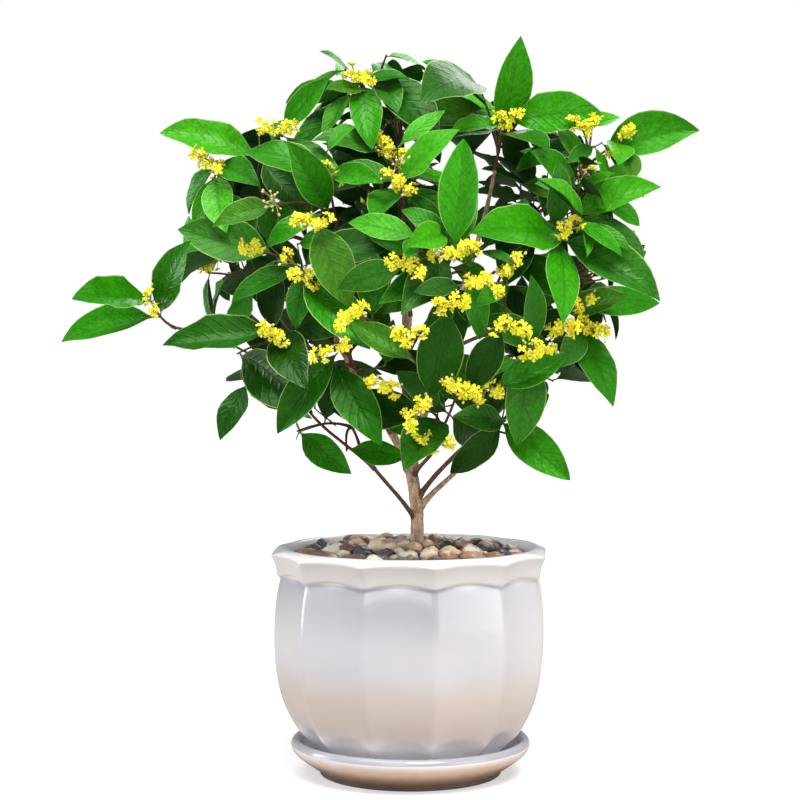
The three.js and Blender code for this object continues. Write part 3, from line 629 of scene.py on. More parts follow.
# Pot rows: radius and height over the foot at the ridges, how much of the flutes each row takes, and how
# much higher and wider it runs between the ridges than on them
POT_ROWS = (
    (40, 0, 0, 0, 0), (60, 0, 0.3, 0, 0), (61.8, 0.5, 0.4, 0, 0), (63, 1.8, 0.5, 0, 0),
    (66.5, 5, 0.5, 1.5, 0.5), (73, 11, 0.55, 4, 1.5), (81, 18, 0.6, 7, 3), (87.3, 23.4, 0.75, 9.2, 4.6),
    (90.4, 26.4, 0.95, 10, 5.2), (91.7, 28.2, 1, 10, 5.2), (95.2, 34, 1, 7.5, 3.6), (99.2, 41, 1, 4.5, 2),
    (103.9, 51, 1, 2, 0.8), (108.6, 66, 1, 0.5, 0.1), (111.1, 82, 1, 0, 0), (BELLY, 98, 1, 0, 0),
    (111.8, 115, 1, 0, 0), (110.7, 132, 1, 1.2, 0), (108.6, 144, 1, 3, 0), (107, 150.4, 1, 4, 0),
    (106.7, 151.8, 1, 4, 0), (107.2, 152.6, 1, 4, 0), (108.8, 153.1, 1, 4, 0), (109.4, 154.3, 1, 4, 0),
    (109.8, 158, 1, 3, 0), (110.8, 163, 1, 2.6, 0), (112.6, 167.2, 1, 3, 0), (113.9, 169.1, 1, 3.4, 0),
    (114.2, 170.4, 1, 3.4, 0), (113.3, 171.7, 0.95, 3.3, 0), (110, 173.4, 0.8, 2.6, 0),
    (105.5, 175.3, 0.35, 1, 0), (102, 176.2, 0.1, 0.2, 0), (100.2, 176, 0, 0, 0), (98.6, 174.6, 0, 0, 0),
    (97.5, 172, 0, 0, 0), (97, 168, 0, 0, 0), (97, SOIL_TOP - POT_FOOT, 0, 0, 0), (MOUTH + 1, 98, 0, 0, 0),
    (MOUTH - 2, 64, 0, 0, 0), (MOUTH - 14, 35, 0, 0, 0), (55, 9, 0, 0, 0), (30, 9, 0, 0, 0),
)


def make_pot(finish):
    """The pot is turned plain, and then each ring is pushed in between the ridges to flat facets."""
    sides = FACETS * 12
    piece = ring_rows([(radius, height + POT_FOOT) for radius, height, *_ in POT_ROWS], sides)
    half = pi / FACETS
    for vertex in piece.data.vertices:
        radius, _, flute, rise, widen = POT_ROWS[vertex.index // sides]
        off = (atan2(vertex.co.y, vertex.co.x) - FIRST_RIDGE) % (2 * half) - half
        middle = 1 - (off / half) ** 2
        flat = 1 - cos(half) / cos(off) + FACET_HOLLOW * middle
        share = (1 - flute * flat) * (1 + widen * middle / radius)
        vertex.co.x *= share
        vertex.co.y *= share
        vertex.co.z += rise * middle * MM
    smooth_and_close(piece)
    piece.data.materials.append(finish)
    seat(piece, "pot_glazed", ["pot"])


# Bed of damp earth: how far it stays from the wall, its height over the soil, and its grain
BED = {"gap": 4.2, "height": 8.5, "thick": 1.2, "squares": 72, "rough": 1.6, "grain": 160}


def make_grit(finish):
    """Damp earth between the stones: a disc of fine squares, raised and sunk at random."""
    reach = (MOUTH - BED["gap"]) * MM
    piece = basic(bpy.ops.mesh.primitive_grid_add, x_subdivisions=BED["squares"],
                  y_subdivisions=BED["squares"], size=2 * reach,
                  location=(0, 0, (SOIL_TOP + BED["height"]) * MM))
    for vertex in piece.data.vertices:
        x, y = vertex.co.x / reach, vertex.co.y / reach
        vertex.co.x = x * sqrt(1 - y * y / 2) * reach
        vertex.co.y = y * sqrt(1 - x * x / 2) * reach
        vertex.co.z += noise.noise(vertex.co * BED["grain"]) * BED["rough"] * MM
    thick = piece.modifiers.new("body", "SOLIDIFY")
    thick.thickness = BED["thick"] * MM
    active(piece)
    bpy.ops.object.modifier_apply(modifier=thick.name)
    piece.data.materials.append(finish)
    seat(piece, "grit_bed")


# Pebbles

# Large ones, as in the solid model, then small ones: their sizes, tries for each size, how close they lie
# as a share of their sizes, and how high
PEBBLE = {"size": (10, 4), "middle": 175.5, "rings": 3, "ring_pitch": 27, "pitch": 35, "shown": 0.82}
SMALL = {"sizes": ((8.5, 3.5), (6, 3), (4, 2)), "tries": 900, "close": 0.84, "height": 11.5}
MOST_PEBBLES = 165
PEBBLE_SHAPES = 8
WORN = (1.0, 0.78, 0.60)
MOUND = 11
STONE_TONES = {
    "stone_tan": ((0.86, 0.62, 0.39), (0.32, 0.18, 0.10), 420),
    "stone_cream": ((1.0, 0.93, 0.78), (0.55, 0.39, 0.26), 300),
    "stone_brown": ((0.46, 0.27, 0.18), (0.10, 0.045, 0.03), 500),
    "stone_grey": ((0.52, 0.48, 0.43), (0.12, 0.10, 0.09), 350),
    "stone_black": ((0.040, 0.042, 0.052), (0.008, 0.008, 0.012), 200),
    "stone_rose": ((0.74, 0.47, 0.38), (0.22, 0.10, 0.08), 380),
    "stone_sand": ((0.97, 0.78, 0.56), (0.36, 0.22, 0.13), 260),
    "stone_slate": ((0.075, 0.078, 0.095), (0.015, 0.015, 0.020), 260),
}


def worn_stone(seed):
    """One pebble, 1 mm in radius: a ball drawn out, flattened and worn uneven."""
    piece = basic(bpy.ops.mesh.primitive_ico_sphere_add, subdivisions=3, radius=MM)
    edit_all()
    bpy.ops.transform.resize(value=WORN, center_override=(0, 0, 0))
    bpy.ops.mesh.vertices_smooth(factor=0.3, repeat=1)
    bpy.ops.object.mode_set(mode="OBJECT")
    shift = Vector((seed * 7.1, seed * 3.3, seed * 5.7))
    points = [vertex.co / MM for vertex in piece.data.vertices]
    points = [p * (1 + 0.42 * noise.noise(p * 1.25 + shift) + 0.10 * noise.noise(p * 3.0 + shift))
              for p in points]
    faces = [list(face.vertices) for face in piece.data.polygons]
    bpy.data.objects.remove(piece)
    return points, faces


def mound(place, reach):
    """How much higher the heap of pebbles is at a place than at the wall."""
    return MOUND * (1 - (place.xy.length / reach) ** 2)


def pebble_places():
    """Places of the large pebbles by the solid model's rings, and of small ones in what is left."""
    random = seeded(11)
    reach = MOUTH - 3 - GAP * 3
    stones = []
    for ring in range(PEBBLE["rings"]):
        radius = PEBBLE["ring_pitch"] * (ring + 0.9)
        count = round(TURN * radius / PEBBLE["pitch"])
        for k in range(count):
            angle = (k + 0.5 * (ring % 2) + 0.3 * random()) * TURN / count
            size = at_least(PEBBLE["size"], random)
            # The solid model draws two more sizes here, which the round stones don't need
            random()
            random()
            tilt = 0.5 * (random() - 0.5)
            turn = pi * random()
            place = polar(min(radius, reach - size - 1), angle, PEBBLE["middle"] + 2 * random())
            place.z += 0.7 * mound(place, reach)
            stones.append((place, size * PEBBLE["shown"], tilt, turn))
    for sizes in SMALL["sizes"]:
        for _ in range(SMALL["tries"]):
            size = at_least(sizes, random)
            out = (reach - size - 1) * sqrt(random())
            place = polar(out, TURN * random(), SOIL_TOP + SMALL["height"] + 0.25 * size)
            place.z += mound(place, reach)
            from_trunk = (place.xy - Vector(TRUNK["start"])).length
            clear = all((place.xy - other.xy).length > SMALL["close"] * (size + wide)
                        for other, wide, *_ in stones)
            if clear and from_trunk > TRUNK["foot"] + 0.6 * size and len(stones) < MOST_PEBBLES:
                stones.append((place, size, 0.9 * (random() - 0.5), pi * random()))
    return stones


def make_pebbles():
    random = seeded(12)
    shapes = [worn_stone(seed) for seed in range(PEBBLE_SHAPES)]
    bundle = Bundle()
    for place, size, tilt, turn in pebble_places():
        points, faces = shapes[int(PEBBLE_SHAPES * random())]
        lean = Matrix.Rotation(turn, 3, "Z") @ Matrix.Rotation(tilt, 3, "X")
        tall = 0.85 + 0.3 * random()
        kind = int(len(STONE_TONES) * random())
        shaped = [lean @ Vector((p.x * size, p.y * size, p.z * size * tall)) + place for p in points]
        bundle.add(shaped, faces, kind)
    materials = [stone(name, *tones) for name, tones in STONE_TONES.items()]
    bundle.piece("pebbles_worn", materials, "pebble", ["pebbles"])


# Lines and limbs

class Line:
    """A line through space, read by the share of its length."""

    def __init__(self, points):
        self.points = points
        self.marks = [0.0]
        for one, other in zip(points, points[1:]):
            self.marks.append(self.marks[-1] + (other - one).length)
        self.length = self.marks[-1]

    def part(self, share):
        target = min(max(share, 0.0), 1.0) * self.length
        index = min(bisect_right(self.marks, target), len(self.marks) - 1)
        return index, (target - self.marks[index - 1]) / (self.marks[index] - self.marks[index - 1])

    def at(self, share):
        index, along = self.part(share)
        return self.points[index - 1].lerp(self.points[index], along)

    def heading(self, share):
        index, _ = self.part(share)
        return (self.points[index] - self.points[index - 1]).normalized()


def arc_line(start, leave, arrive, end, count=48):
    return Line([Vector(p) for p in interpolate_bezier(start, leave, arrive, end, count)])


def bent_line(start, middle, end):
    return arc_line(start, start.lerp(middle, 2 / 3), end.lerp(middle, 2 / 3), end)


def trunk_line():
    x, y = TRUNK["start"]
    stops = [Vector((x + right, y + back, SOIL_TOP + GAP + TRUNK["height"] * up))
             for right, back, up in TRUNK["bends"]]
    points = [stops[0]]
    for k in range(3):
        before = stops[max(k - 1, 0)]
        after = stops[min(k + 2, 3)]
        leave = stops[k] + (stops[k + 1] - before) / 6
        arrive = stops[k + 1] - (after - stops[k]) / 6
        points += arc_line(stops[k], leave, arrive, stops[k + 1], 16).points[1:]
    return Line(points)


def frames_along(line, steps):
    """Places along a line with two directions across it that don't twist."""
    heading = line.heading(0)
    across = heading.orthogonal().normalized()
    frames = []
    for step in range(steps + 1):
        new = line.heading(step / steps)
        across = (heading.rotation_difference(new) @ across).normalized()
        heading = new
        frames.append((line.at(step / steps), across, heading.cross(across).normalized()))
    return frames


def tube_faces(start, rings, sides):
    """Faces from ring to ring of a tube whose points begin at start."""
    return [(a + k, a + (k + 1) % sides, a + (k + 1) % sides + sides, a + k + sides)
            for a in range(start, start + (rings - 1) * sides, sides) for k in range(sides)]


def limb_form(line, radius_at, sides, steps, relief=None):
    points = []
    for step, (centre, across, rise) in enumerate(frames_along(line, steps)):
        radius = radius_at(step / steps)
        for k in range(sides):
            out = swing(across, rise, TURN * k / sides)
            wide = radius * (1 + relief(centre + out * radius)) if relief else radius
            points.append(centre + out * wide)
    ends = [tuple(reversed(range(sides))), tuple(range(steps * sides, (steps + 1) * sides))]
    return points, tube_faces(0, steps + 1, sides) + ends


# What has grown

class Grown:
    """A twig, leaf or limb that the next ones keep clear of. A leaf has a form trimmed at its root too."""

    def __init__(self, mass, shoot, form, trimmed=None):
        self.mass = mass
        self.shoot = shoot
        self.tree = BVHTree.FromPolygons(*form)
        self.trimmed = BVHTree.FromPolygons(*trimmed) if trimmed else None
        low, high = (Vector([end(p[k] for p in form[0]) for k in range(3)]) for end in (min, max))
        self.centre = (low + high) / 2
        self.radius = (high - low).length / 2


def near(one, other):
    return (one.centre - other.centre).length <= one.radius + other.radius


def clear_of_others(one):
    """Whether it touches nothing of another mass, and no limb."""
    return not any(o.mass != one.mass and near(one, o) and o.tree.overlap(one.tree) for o in grown)


grown = []
limbs = {}


def taper(radii):
    thick, thin = radii
    return lambda share: thick + (thin - thick) * share


def trunk_radius(share):
    flare = (TRUNK["foot"] - TRUNK["base"]) * max(0.0, 1 - share / 0.22) ** 2
    return TRUNK["base"] + (TRUNK["fork"] - TRUNK["base"]) * share + flare


def grow_limbs():
    limbs["trunk"] = (trunk_line(), trunk_radius)
    for name, (parent, at, tip, radii) in BOUGHS.items():
        line = limbs[parent][0]
        start, tip = line.at(at), Vector(tip)
        reach = (tip - start).length
        towards = (tip - start).normalized()
        leaving = (line.heading(at) * 0.2 + towards * 0.8).normalized()
        arriving = (UP * 0.35 + towards * 0.65).normalized()
        path = arc_line(start, start + leaving * reach * 0.35, tip - arriving * reach * 0.3, tip)
        limbs[name] = (path, taper(radii))
    for name, (line, radius_at) in limbs.items():
        grown.append(Grown("limbs", name, limb_form(line, radius_at, 6, 8)))


def outward(place):
    return (place - HEART).normalized()


def facing(place):
    """Which way a leaf looks: out and up, and towards the viewer the nearer it is."""
    close = max(0.0, min(1.0, 0.6 - place.y / 120))
    return (outward(place) * 0.55 + UP * 0.5 + FRONT * 0.9 * close).normalized()


def in_crown(place):
    """Whether a place is inside the crown, which is a ball drawn out and fuller below."""
    x, y, z = CROWN["centre"]
    across, deep, high = CROWN["reach"]
    level = abs(place.z - z) / high
    taken = level ** CROWN["below"] if place.z < z else level ** 2
    return ((place.x - x) / across) ** 2 + ((place.y - y) / deep) ** 2 + taken < 1


class Leaf:
    """A leaf's midrib, which is an arc, and the directions that its blade spreads and faces."""

    def __init__(self, root, towards, face, length, bend):
        self.root = root
        self.towards = towards
        self.side = towards.cross(face).normalized()
        self.normal = self.side.cross(towards).normalized()
        self.length = length
        self.bend = bend

    @classmethod
    def to_tip(cls, root, tip, face, bend):
        chord = tip - root
        straight = cls(root, chord.normalized(), face, 0, bend)
        towards = swing(straight.towards, straight.normal, bend / 2)
        length = chord.length * bend / 2 / sin(bend / 2)
        return cls(root, towards, straight.normal, length, bend)

    def place(self, share):
        turn = self.bend * share
        out = sin(turn) / self.bend * self.length
        down = (1 - cos(turn)) / self.bend * self.length
        return self.root + self.towards * out - self.normal * down

    def rise(self, share):
        return swing(self.normal, self.towards, self.bend * share)

    def blade(self, swell, trim):
        """The plain closed blade that is tested against what has grown."""
        points = [self.place(trim)]
        for share, width in zip(LEAF["stations"], LEAF["half_widths"]):
            centre, up = self.place(share), self.rise(share)
            half = self.length * LEAF["width"] * width / 2 + 2 * swell
            points.append(centre + self.side * half + up * swell)
            points.append(centre - up * (LEAF["thickness"] + swell))
            points.append(centre - self.side * half + up * swell)
        points.append(self.place(1 + swell / self.length))
        faces = tube_faces(1, len(LEAF["stations"]), 3)
        last = len(points) - 1
        for k in range(3):
            after = (k + 1) % 3
            faces += [(0, 1 + after, 1 + k), (last - 3 + k, last - 3 + after, last)]
        return points, faces


twigs = []
leaves = []
clusters = []


def grow_twig(mass, shoot, start, leaving, node, radii, random):
    reach = (node - start).length
    steps = max(1, min(TWIG["steps"], round(reach / TWIG["pitch"])))
    for attempt in range(TWIG["tries"]):
        middle = start + leaving * reach * 0.45 + scatter(random) * reach * TWIG["sway"] * (attempt + 1)
        line = bent_line(start, middle, node)
        twig = Grown(mass, shoot, limb_form(line, lambda share: taper(radii)(share) + GAP, 3, steps))
        if clear_of_others(twig):
            grown.append(twig)
            twigs.append((line, radii))
            return [line.at(k / steps) for k in range(steps + 1)]
    return None


def leaf_fits(mass, shoot, leaf):
    """Whether a leaf is clear of all but its own root's neighbours; if it is, later ones keep clear of it."""
    trimmed = leaf.blade(GAP, ROOT_SHARE)
    guard = Grown(mass, shoot, leaf.blade(GAP, 0), trimmed)
    for other in grown:
        if not near(guard, other):
            continue
        if other.shoot == shoot:
            if other.trimmed and other.trimmed.overlap(guard.trimmed):
                return False
        elif other.tree.overlap(guard.trimmed if other.mass == mass and not other.trimmed else guard.tree):
            return False
    grown.append(Grown(mass, shoot, leaf.blade(0, 0), trimmed))
    return True


def keep_leaf(leaf, mass, young=0.0, aimed=False):
    leaf.mass, leaf.young, leaf.aimed = mass, young, aimed
    leaves.append(leaf)


def nearest_on(stem, node):
    """Where on a stem a shoot to a node starts, and the stem's heading there."""
    parts = [(one * 0.1 + other * 0.9, (other - one).normalized()) for one, other in zip(stem, stem[1:])]
    return min(parts, key=lambda part: (part[0] - node).length)


def nodes_of(joints, most):
    """Places for pairs of leaves, from the end of a shoot inwards."""
    nodes = []
    for k in range(len(joints) - 1, 0, -1)[:most]:
        axis = (joints[k] - joints[k - 1]).normalized()
        back = 0 if nodes else TWIG["node"]
        nodes.append({"place": joints[k] - axis * back, "axis": axis, "leaves": 0})
    return nodes


def grow_shoots(name, index):
    nodes, more, _tips = MASSES[name]
    line, radius_at = limbs[name]
    random = seeded(index + 1)
    heading = line.heading(1)
    start = line.at(1) + heading * GAP
    stem_end = Vector(STEM_ENDS[name]) if name in STEM_ENDS else start + heading * SHOOT["stem"]
    stem = grow_twig(name, f"{name}_stem", start, heading, stem_end, (radius_at(1), TWIG["radius"]), random)
    ends = [(Vector(node), True) for node in nodes]
    ends += [(Vector(spur), False) for spur in SPURS.get(name, ())]
    for k in range(more):
        turn = SHOOT["step"] * k + TURN * random()
        out = (outward(stem_end) * 0.8 + UP * 0.35).normalized()
        across = out.cross(UP).normalized()
        rise = out.cross(across)
        spread = at_least(SHOOT["spread"], random)
        away = (across * cos(turn) * spread + rise * sin(turn) * spread + out).normalized()
        node = stem_end + away * at_least(SHOOT["length"], random)
        ends.append((node, random() < SHOOT["blooming"]))
    shoots = []
    for k, (node, bloom) in enumerate(ends):
        place, tangent = nearest_on(stem, node)
        leaving = (tangent * 0.5 + (node - place).normalized() * 0.5).normalized()
        label = f"{name}_{k}"
        joints = grow_twig(name, label, place, leaving, node, (TWIG["radius"], TWIG["end"]), random)
        if joints:
            shoots.append({"mass": name, "label": label, "joints": joints, "bloom": bloom, "random": random,
                           "nodes": nodes_of(joints, 3 if bloom else 2)})
    return shoots


def grow_blossom(shoot):
    random = shoot["random"]
    end = shoot["joints"][-1]
    place = end + outward(end) * BLOSSOM["spread"]
    size = BLOSSOM["size"] * (0.85 + 0.3 * random())
    lean, turn = 0.8 * (random() - 0.5), 0.8 * (random() - 0.5)
    spin = Matrix.Rotation(turn, 3, "Z") @ Matrix.Rotation(lean, 3, "Y")
    corners = ((1, 0, 0), (-1, 0, 0), (0, 0.75, 0), (0, -0.75, 0), (0, 0, 0.75), (0, 0, -0.75))
    points = [place + spin @ (Vector(corner) * size) for corner in corners]
    faces = [(x, y, z) for x in (0, 1) for y in (2, 3) for z in (4, 5)]
    head = Grown(shoot["mass"], shoot["label"], (points, faces))
    if clear_of_others(head):
        grown.append(head)
    clusters.append((place, end, size, spin, True))


def grow_aimed_leaves(name, shoots):
    nodes = [(shoot, node) for shoot in shoots for node in shoot["nodes"]]
    for tip in map(Vector, MASSES[name][2]):
        shoot, node = min(nodes, key=lambda pair: abs((pair[1]["place"] - tip).length - LEAF["length"])
                          + CROWDING * pair[1]["leaves"])
        for bend, shift in AIM_TRIES:
            leaf = Leaf.to_tip(node["place"], tip + FRONT * shift, facing(tip), bend)
            if leaf_fits(name, shoot["label"], leaf):
                keep_leaf(leaf, name, aimed=True)
                node["leaves"] += 1
                break


def grow_pairs(shoot):
    random = shoot["random"]
    roll = TURN * random()
    for k, node in enumerate(shoot["nodes"]):
        for half in (0, pi)[min(2, node["leaves"]):]:
            for attempt in range(PAIR["tries"]):
                loose = PAIR["loose"] * (attempt + 1)
                away = across_axis(node["axis"], roll + half + k * pi / 2 + 2 * loose * (random() - 0.5))
                opened = PAIR["open"] + PAIR["opener"] * k + loose * (random() - 0.5)
                towards = swing(node["axis"], away, opened) - UP * PAIR["sink"]
                length = LEAF["length"] * (1 + LEAF["vary"] * (2 * random() - 1))
                length *= 1 - PAIR["shorter"] * attempt
                bend = LEAF["droop"] * at_least(PAIR["bend"], random)
                leaf = Leaf(node["place"], towards.normalized(), facing(node["place"]), length, bend)
                inside = in_crown(leaf.place(0.6)) and in_crown(leaf.place(1))
                if inside and leaf_fits(shoot["mass"], shoot["label"], leaf):
                    keep_leaf(leaf, shoot["mass"])
                    break


def is_behind(mass):
    return mass.startswith(("back", "side"))


def grow_fine(shoot, random):
    """Side twigs of a shoot, each with a few small leaves, where there is room in the crown."""
    mass = shoot["mass"]
    line = Line(shoot["joints"])
    for number, share in enumerate(FINE["behind" if is_behind(mass) else "before"]):
        start, axis = line.at(share), line.heading(share)
        away = across_axis(axis, TURN * random())
        towards = (swing(axis, away, FINE["open"]) + outward(start) * 0.4).normalized()
        node = start + towards * at_least(FINE["length"], random)
        label = f"{shoot['label']}_fine_{number}"
        if not in_crown(node):
            continue
        kept = len(twigs)
        tips = grow_twig(mass, label, start, towards, node, FINE["radius"], random)
        if not tips:
            continue
        before = len(leaves)
        axis = (tips[-1] - tips[0]).normalized()
        roll = TURN * random()
        for half in FINE["leaves"]:
            away = across_axis(axis, roll + half + 0.4 * (random() - 0.5))
            towards = (swing(axis, away, FINE["leaf_open"]) - UP * PAIR["sink"]).normalized()
            length = at_least(FINE["leaf"], random)
            leaf = Leaf(tips[-1] - axis, towards, facing(node), length, at_least(FINE["bend"], random))
            if in_crown(leaf.place(1)) and leaf_fits(mass, label, leaf):
                keep_leaf(leaf, mass, at_least(FINE["young"], random))
        if len(leaves) == before:
            del twigs[kept:]


def grow_sprigs(shoots, random):
    """Small sprigs of buds on some of the shoots that don't bloom by the rule, in bloom at the back."""
    for shoot in shoots:
        end = shoot["joints"][-1]
        room = in_crown(end + outward(end) * SPRIG["room"])
        if not shoot["bloom"] and room and random() < SPRIG["shoots"]:
            spin = Matrix.Rotation(TURN * random(), 3, "Z")
            blooms = is_behind(shoot["mass"]) and random() < SPRIG["blooming"]
            size = BLOSSOM["size"] * SPRIG["sizes"][blooms]
            clusters.append((end + outward(end) * SPRIG["spread"], end, size, spin, blooms))


def clear_view_of_blossom():
    """Takes off the leaves that hide a head of flowers from the front, an aimed one only if it hides half."""
    trees = [BVHTree.FromPolygons(*leaf.blade(0, 0)) for leaf in leaves]
    hiding = set()
    for place, _end, size, _spin, flowers in clusters:
        if not flowers or place.y > SEEN_DEPTH:
            continue
        blocked = Counter()
        for sight in (place + share * size for share in SIGHTS):
            away = (EYE / MM - sight).normalized()
            blocked.update(k for k, tree in enumerate(trees) if tree.ray_cast(sight, away)[0])
        hiding.update(k for k, count in blocked.items() if count > MOST_BLOCKED[leaves[k].aimed])
    leaves[:] = [leaf for k, leaf in enumerate(leaves) if k not in hiding]


def grow_crown():
    grow_limbs()
    shoots_of = {name: grow_shoots(name, index) for index, name in enumerate(MASSES)}
    every = [shoot for shoots in shoots_of.values() for shoot in shoots]
    for shoot in every:
        if shoot["bloom"]:
            grow_blossom(shoot)
    for name, shoots in shoots_of.items():
        grow_aimed_leaves(name, shoots)
    for shoot in every:
        grow_pairs(shoot)
    for index, shoots in enumerate(shoots_of.values()):
        random = seeded(200 + index)
        for shoot in shoots:
            grow_fine(shoot, random)
        grow_sprigs(shoots, random)
    clear_view_of_blossom()


# Bark

# The ring on the trunk: how far up it is and how high it stands
RING = (0.72, 0.6)
# Swelling at the foot of boughs and of twigs: by what share of the radius, and over how many millimetres
SWELL = (0.55, 4.0)
COLLAR = (0.25, 2.5)
# Boughs thicker than this have the trunk's bark, and twigs thinner than this are green
OLD_BOUGH = 2.5
GREEN_TWIG = 1.2
# A twig ends at the last of these shares of its length that is this near to something it bears
BEARING_SHARES = (0.25, 0.4, 0.55, 0.7, 0.8, 0.9, 0.95, 1.0)
BEARING_REACH = 3.2
# Sides and steps of the trunk, and sides and lengths of a step on boughs and twigs
TRUNK_GRID = (28, 90)
BOUGH_GRID = (12, 3.2)
TWIG_GRID = (6, 5.0)


def bark_relief(place):
    ridges = noise.noise(Vector((place.x * 0.9, place.y * 0.9, place.z * 0.16)))
    knots = noise.noise(place * 0.11 + Vector((9, 4, 2)))
    return 0.07 * ridges + 0.09 * knots


def make_trunk(finish):
    line, radius_at = limbs["trunk"]
    bundle = Bundle()

    def ringed(share):
        return radius_at(share) + RING[1] * exp(-((share - RING[0]) * line.length) ** 2)

    bundle.add(*limb_form(line, ringed, *TRUNK_GRID, bark_relief))
    bundle.piece("trunk_bark", [finish], "bark", ["trunk"])


def make_boughs(old, young):
    """Boughs grow out of their parents, thicker where they leave them."""
    bundle = Bundle()
    for name, (parent, at, _tip, (thick, _thin)) in BOUGHS.items():
        line, radius_at = limbs[name]
        parent_radius = limbs[parent][1](at)

        def swollen(share, line=line, radius_at=radius_at, parent_radius=parent_radius):
            out = max(0.0, share * line.length - parent_radius)
            return radius_at(share) * (1 + SWELL[0] * exp(-out / SWELL[1]))

        steps = max(10, round(line.length / BOUGH_GRID[1]))
        bundle.add(*limb_form(line, swollen, BOUGH_GRID[0], steps, bark_relief), int(thick <= OLD_BOUGH))
    bundle.piece("bough_bark", [old, young], "bark", [f"bough_{name}" for name in BOUGHS])


def bearing_twigs():
    """The twigs as far as they bear leaves, blossom or other twigs: what would be bare is cut off."""
    borne = [leaf.root for leaf in leaves] + [end for _place, end, *_ in clusters]
    kept, before = twigs, None
    while before != len(kept):
        before = len(kept)
        roots = borne + [line.at(0) for line, _radii in kept]
        reaches = [max((share for share in BEARING_SHARES for root in roots
                        if (line.at(share) - root).length < BEARING_REACH), default=0)
                   for line, _radii in kept]
        kept = [twig for twig, reach in zip(kept, reaches) if reach]
    return [(line if reach > 0.9 else Line([line.at(reach * k / 8) for k in range(9)]), radii)
            for (line, radii), reach in zip(kept, reaches)]


def make_twigs(finish, green):
    bundle = Bundle()
    for line, radii in bearing_twigs():

        def radius_at(share, line=line, radii=radii):
            return taper(radii)(share) * (0.85 + COLLAR[0] * exp(-share * line.length / COLLAR[1]))

        steps = max(4, round(line.length / TWIG_GRID[1]))
        bundle.add(*limb_form(line, radius_at, TWIG_GRID[0], steps, bark_relief), int(radii[0] < GREEN_TWIG))
    bundle.piece("twigs", [finish, green], "bark")


# Leaves

def leaf_manner(leaf, random):
    """How one leaf differs from the next: its width, fold, waves and turn about its midrib."""
    return {"half": leaf.length * (0.170 + 0.05 * random()), "round_end": random() ** 3,
            "fold": 0.24 + 0.56 * random(), "cup": 0.1 + 0.16 * random(),
            "ripple": leaf.length * (0.006 + 0.02 * random() ** 2), "beats": 1.8 + 1.8 * random(),
            "phase": (random(), random()), "roll": 0.8 * (random() - 0.5), "twist": 0.9 * (random() - 0.5),
            "curl": 0.05 + 0.5 * random() ** 2}


def leaf_rows(leaf, manner, calm, slim):
    """Points of a folded, wavy blade and of the keel under its midrib, row by row, with their map."""
    widest = manner["half"] * slim
    fold = manner["fold"] * (0.3 + 0.7 * calm)
    cup = manner["cup"] * (0.5 + 0.5 * calm)
    curl = leaf.length * manner["curl"] * calm
    points, maps = [], []
    for share, width in LEAF_ROWS:
        rise = leaf.rise(share)
        centre = leaf.place(share) - rise * curl * max(0.0, share - CURL_FROM) ** 2
        turned = calm * (manner["roll"] + manner["twist"] * share)
        side, rise = swing(leaf.side, rise, turned), swing(rise, -leaf.side, turned)
        wide = width ** (1 - 0.3 * manner["round_end"]) if share > 0.5 else width
        half = max(STALK_HALF, widest * wide)
        blade = widest * width > STALK_HALF
        for column in LEAF_COLUMNS:
            x = column * half
            height = 0.0
            if blade:
                wave = sin(TURN * (share * manner["beats"] + manner["phase"][column > 0]))
                height = fold * (abs(x) - 0.45 * half) - cup * x * x / widest
                height += wave * calm * manner["ripple"] * half / widest * abs(column)
            points.append(centre + side * x + rise * height)
            maps.append(((column + 1) / 2, share))
        keel = -0.45 * fold * half if blade else 0.0
        points.append(centre + rise * (keel - LEAF_BODY - 0.3 * STALK_HALF * (1 - share)))
        maps.append((0.5, share))
    points.append(leaf.place(1) - leaf.rise(1) * curl * (1 - CURL_FROM) ** 2)
    maps.append((0.5, 1))
    return points, maps


def leaf_faces():
    """The closed skin over a leaf's rows, and which material each face of it has.

    A face begins at the corner where it is split in two, the same above and below, so that the two sides
    of a twisted edge don't cross.
    """
    faces, kinds = [], []
    across = len(LEAF_COLUMNS)
    row = across + 1
    rows = len(LEAF_ROWS)
    tip = rows * row
    for r in range(rows - 1):
        a = r * row
        b = a + row
        for c in range(across - 1):
            faces.append((a + c + 1, a + c, b + c, b + c + 1))
        faces.append((a + across, b + across, b, a))
        faces.append((a + across - 1, b + across - 1, b + across, a + across))
        kinds += [STALK] * (across + 1) if r == 0 else [UPPER] * (across - 1) + [LOWER] * 2
    a = (rows - 1) * row
    faces += [(a + c + 1, a + c, tip) for c in range(across - 1)]
    faces += [(a, a + across, tip), (a + across, a + across - 1, tip), tuple(range(across + 1))]
    kinds += [UPPER] * (across - 1) + [LOWER] * 2 + [STALK]
    return faces, kinds


# Leaf materials by their place in the list: back, stalk, then the upper sides by their step on the ladder
# of tints from painted shade to painted light, with the dusky ones of painted sheen and the olive one after
# it
LOWER, STALK, UPPER = range(3)
# From nearly black to light green: the darker steps are painted shade, the lighter ones painted light
SHADE_TO_LIGHT_LEAF_TINTS = ((0.004, 0.036, 0.001), (0.010, 0.105, 0.001), (0.018, 0.200, 0.0015), (0.034, 0.320, 0.002),
              (0.070, 0.460, 0.008))
LEAF_STEPS = 6
# A grey-green that stands for a painted sheen
PAINTED_SHEEN_GREEN = (0.036, 0.140, 0.020)
OLIVE = (0.070, 0.190, 0.010)

# How much lighter a mass is painted, and how leaves take their tints of painted light and shade: where the
# rim is, the light there, how fast it falls inwards, how much it varies, the draws under which a leaf is
# dusky, with painted sheen, and over which it is olive, and how distance from the heart and height are
# reckoned
PAINTED_LIGHT_OF_MASSES = {"right_upper": 0.25, "right_middle": 0.2, "top": 0.15, "centre": 0.1, "top_right": 0.1,
                 "far_left": -0.1, "centre_lower": 0.1}
LIGHT = {"rim": 0.85, "there": 0.42, "fall": 0.75, "vary": 0.75, "young": 0.1, "dusky": 0.18, "olive": 0.93,
         "far": 190, "middle": 400, "height": 800}

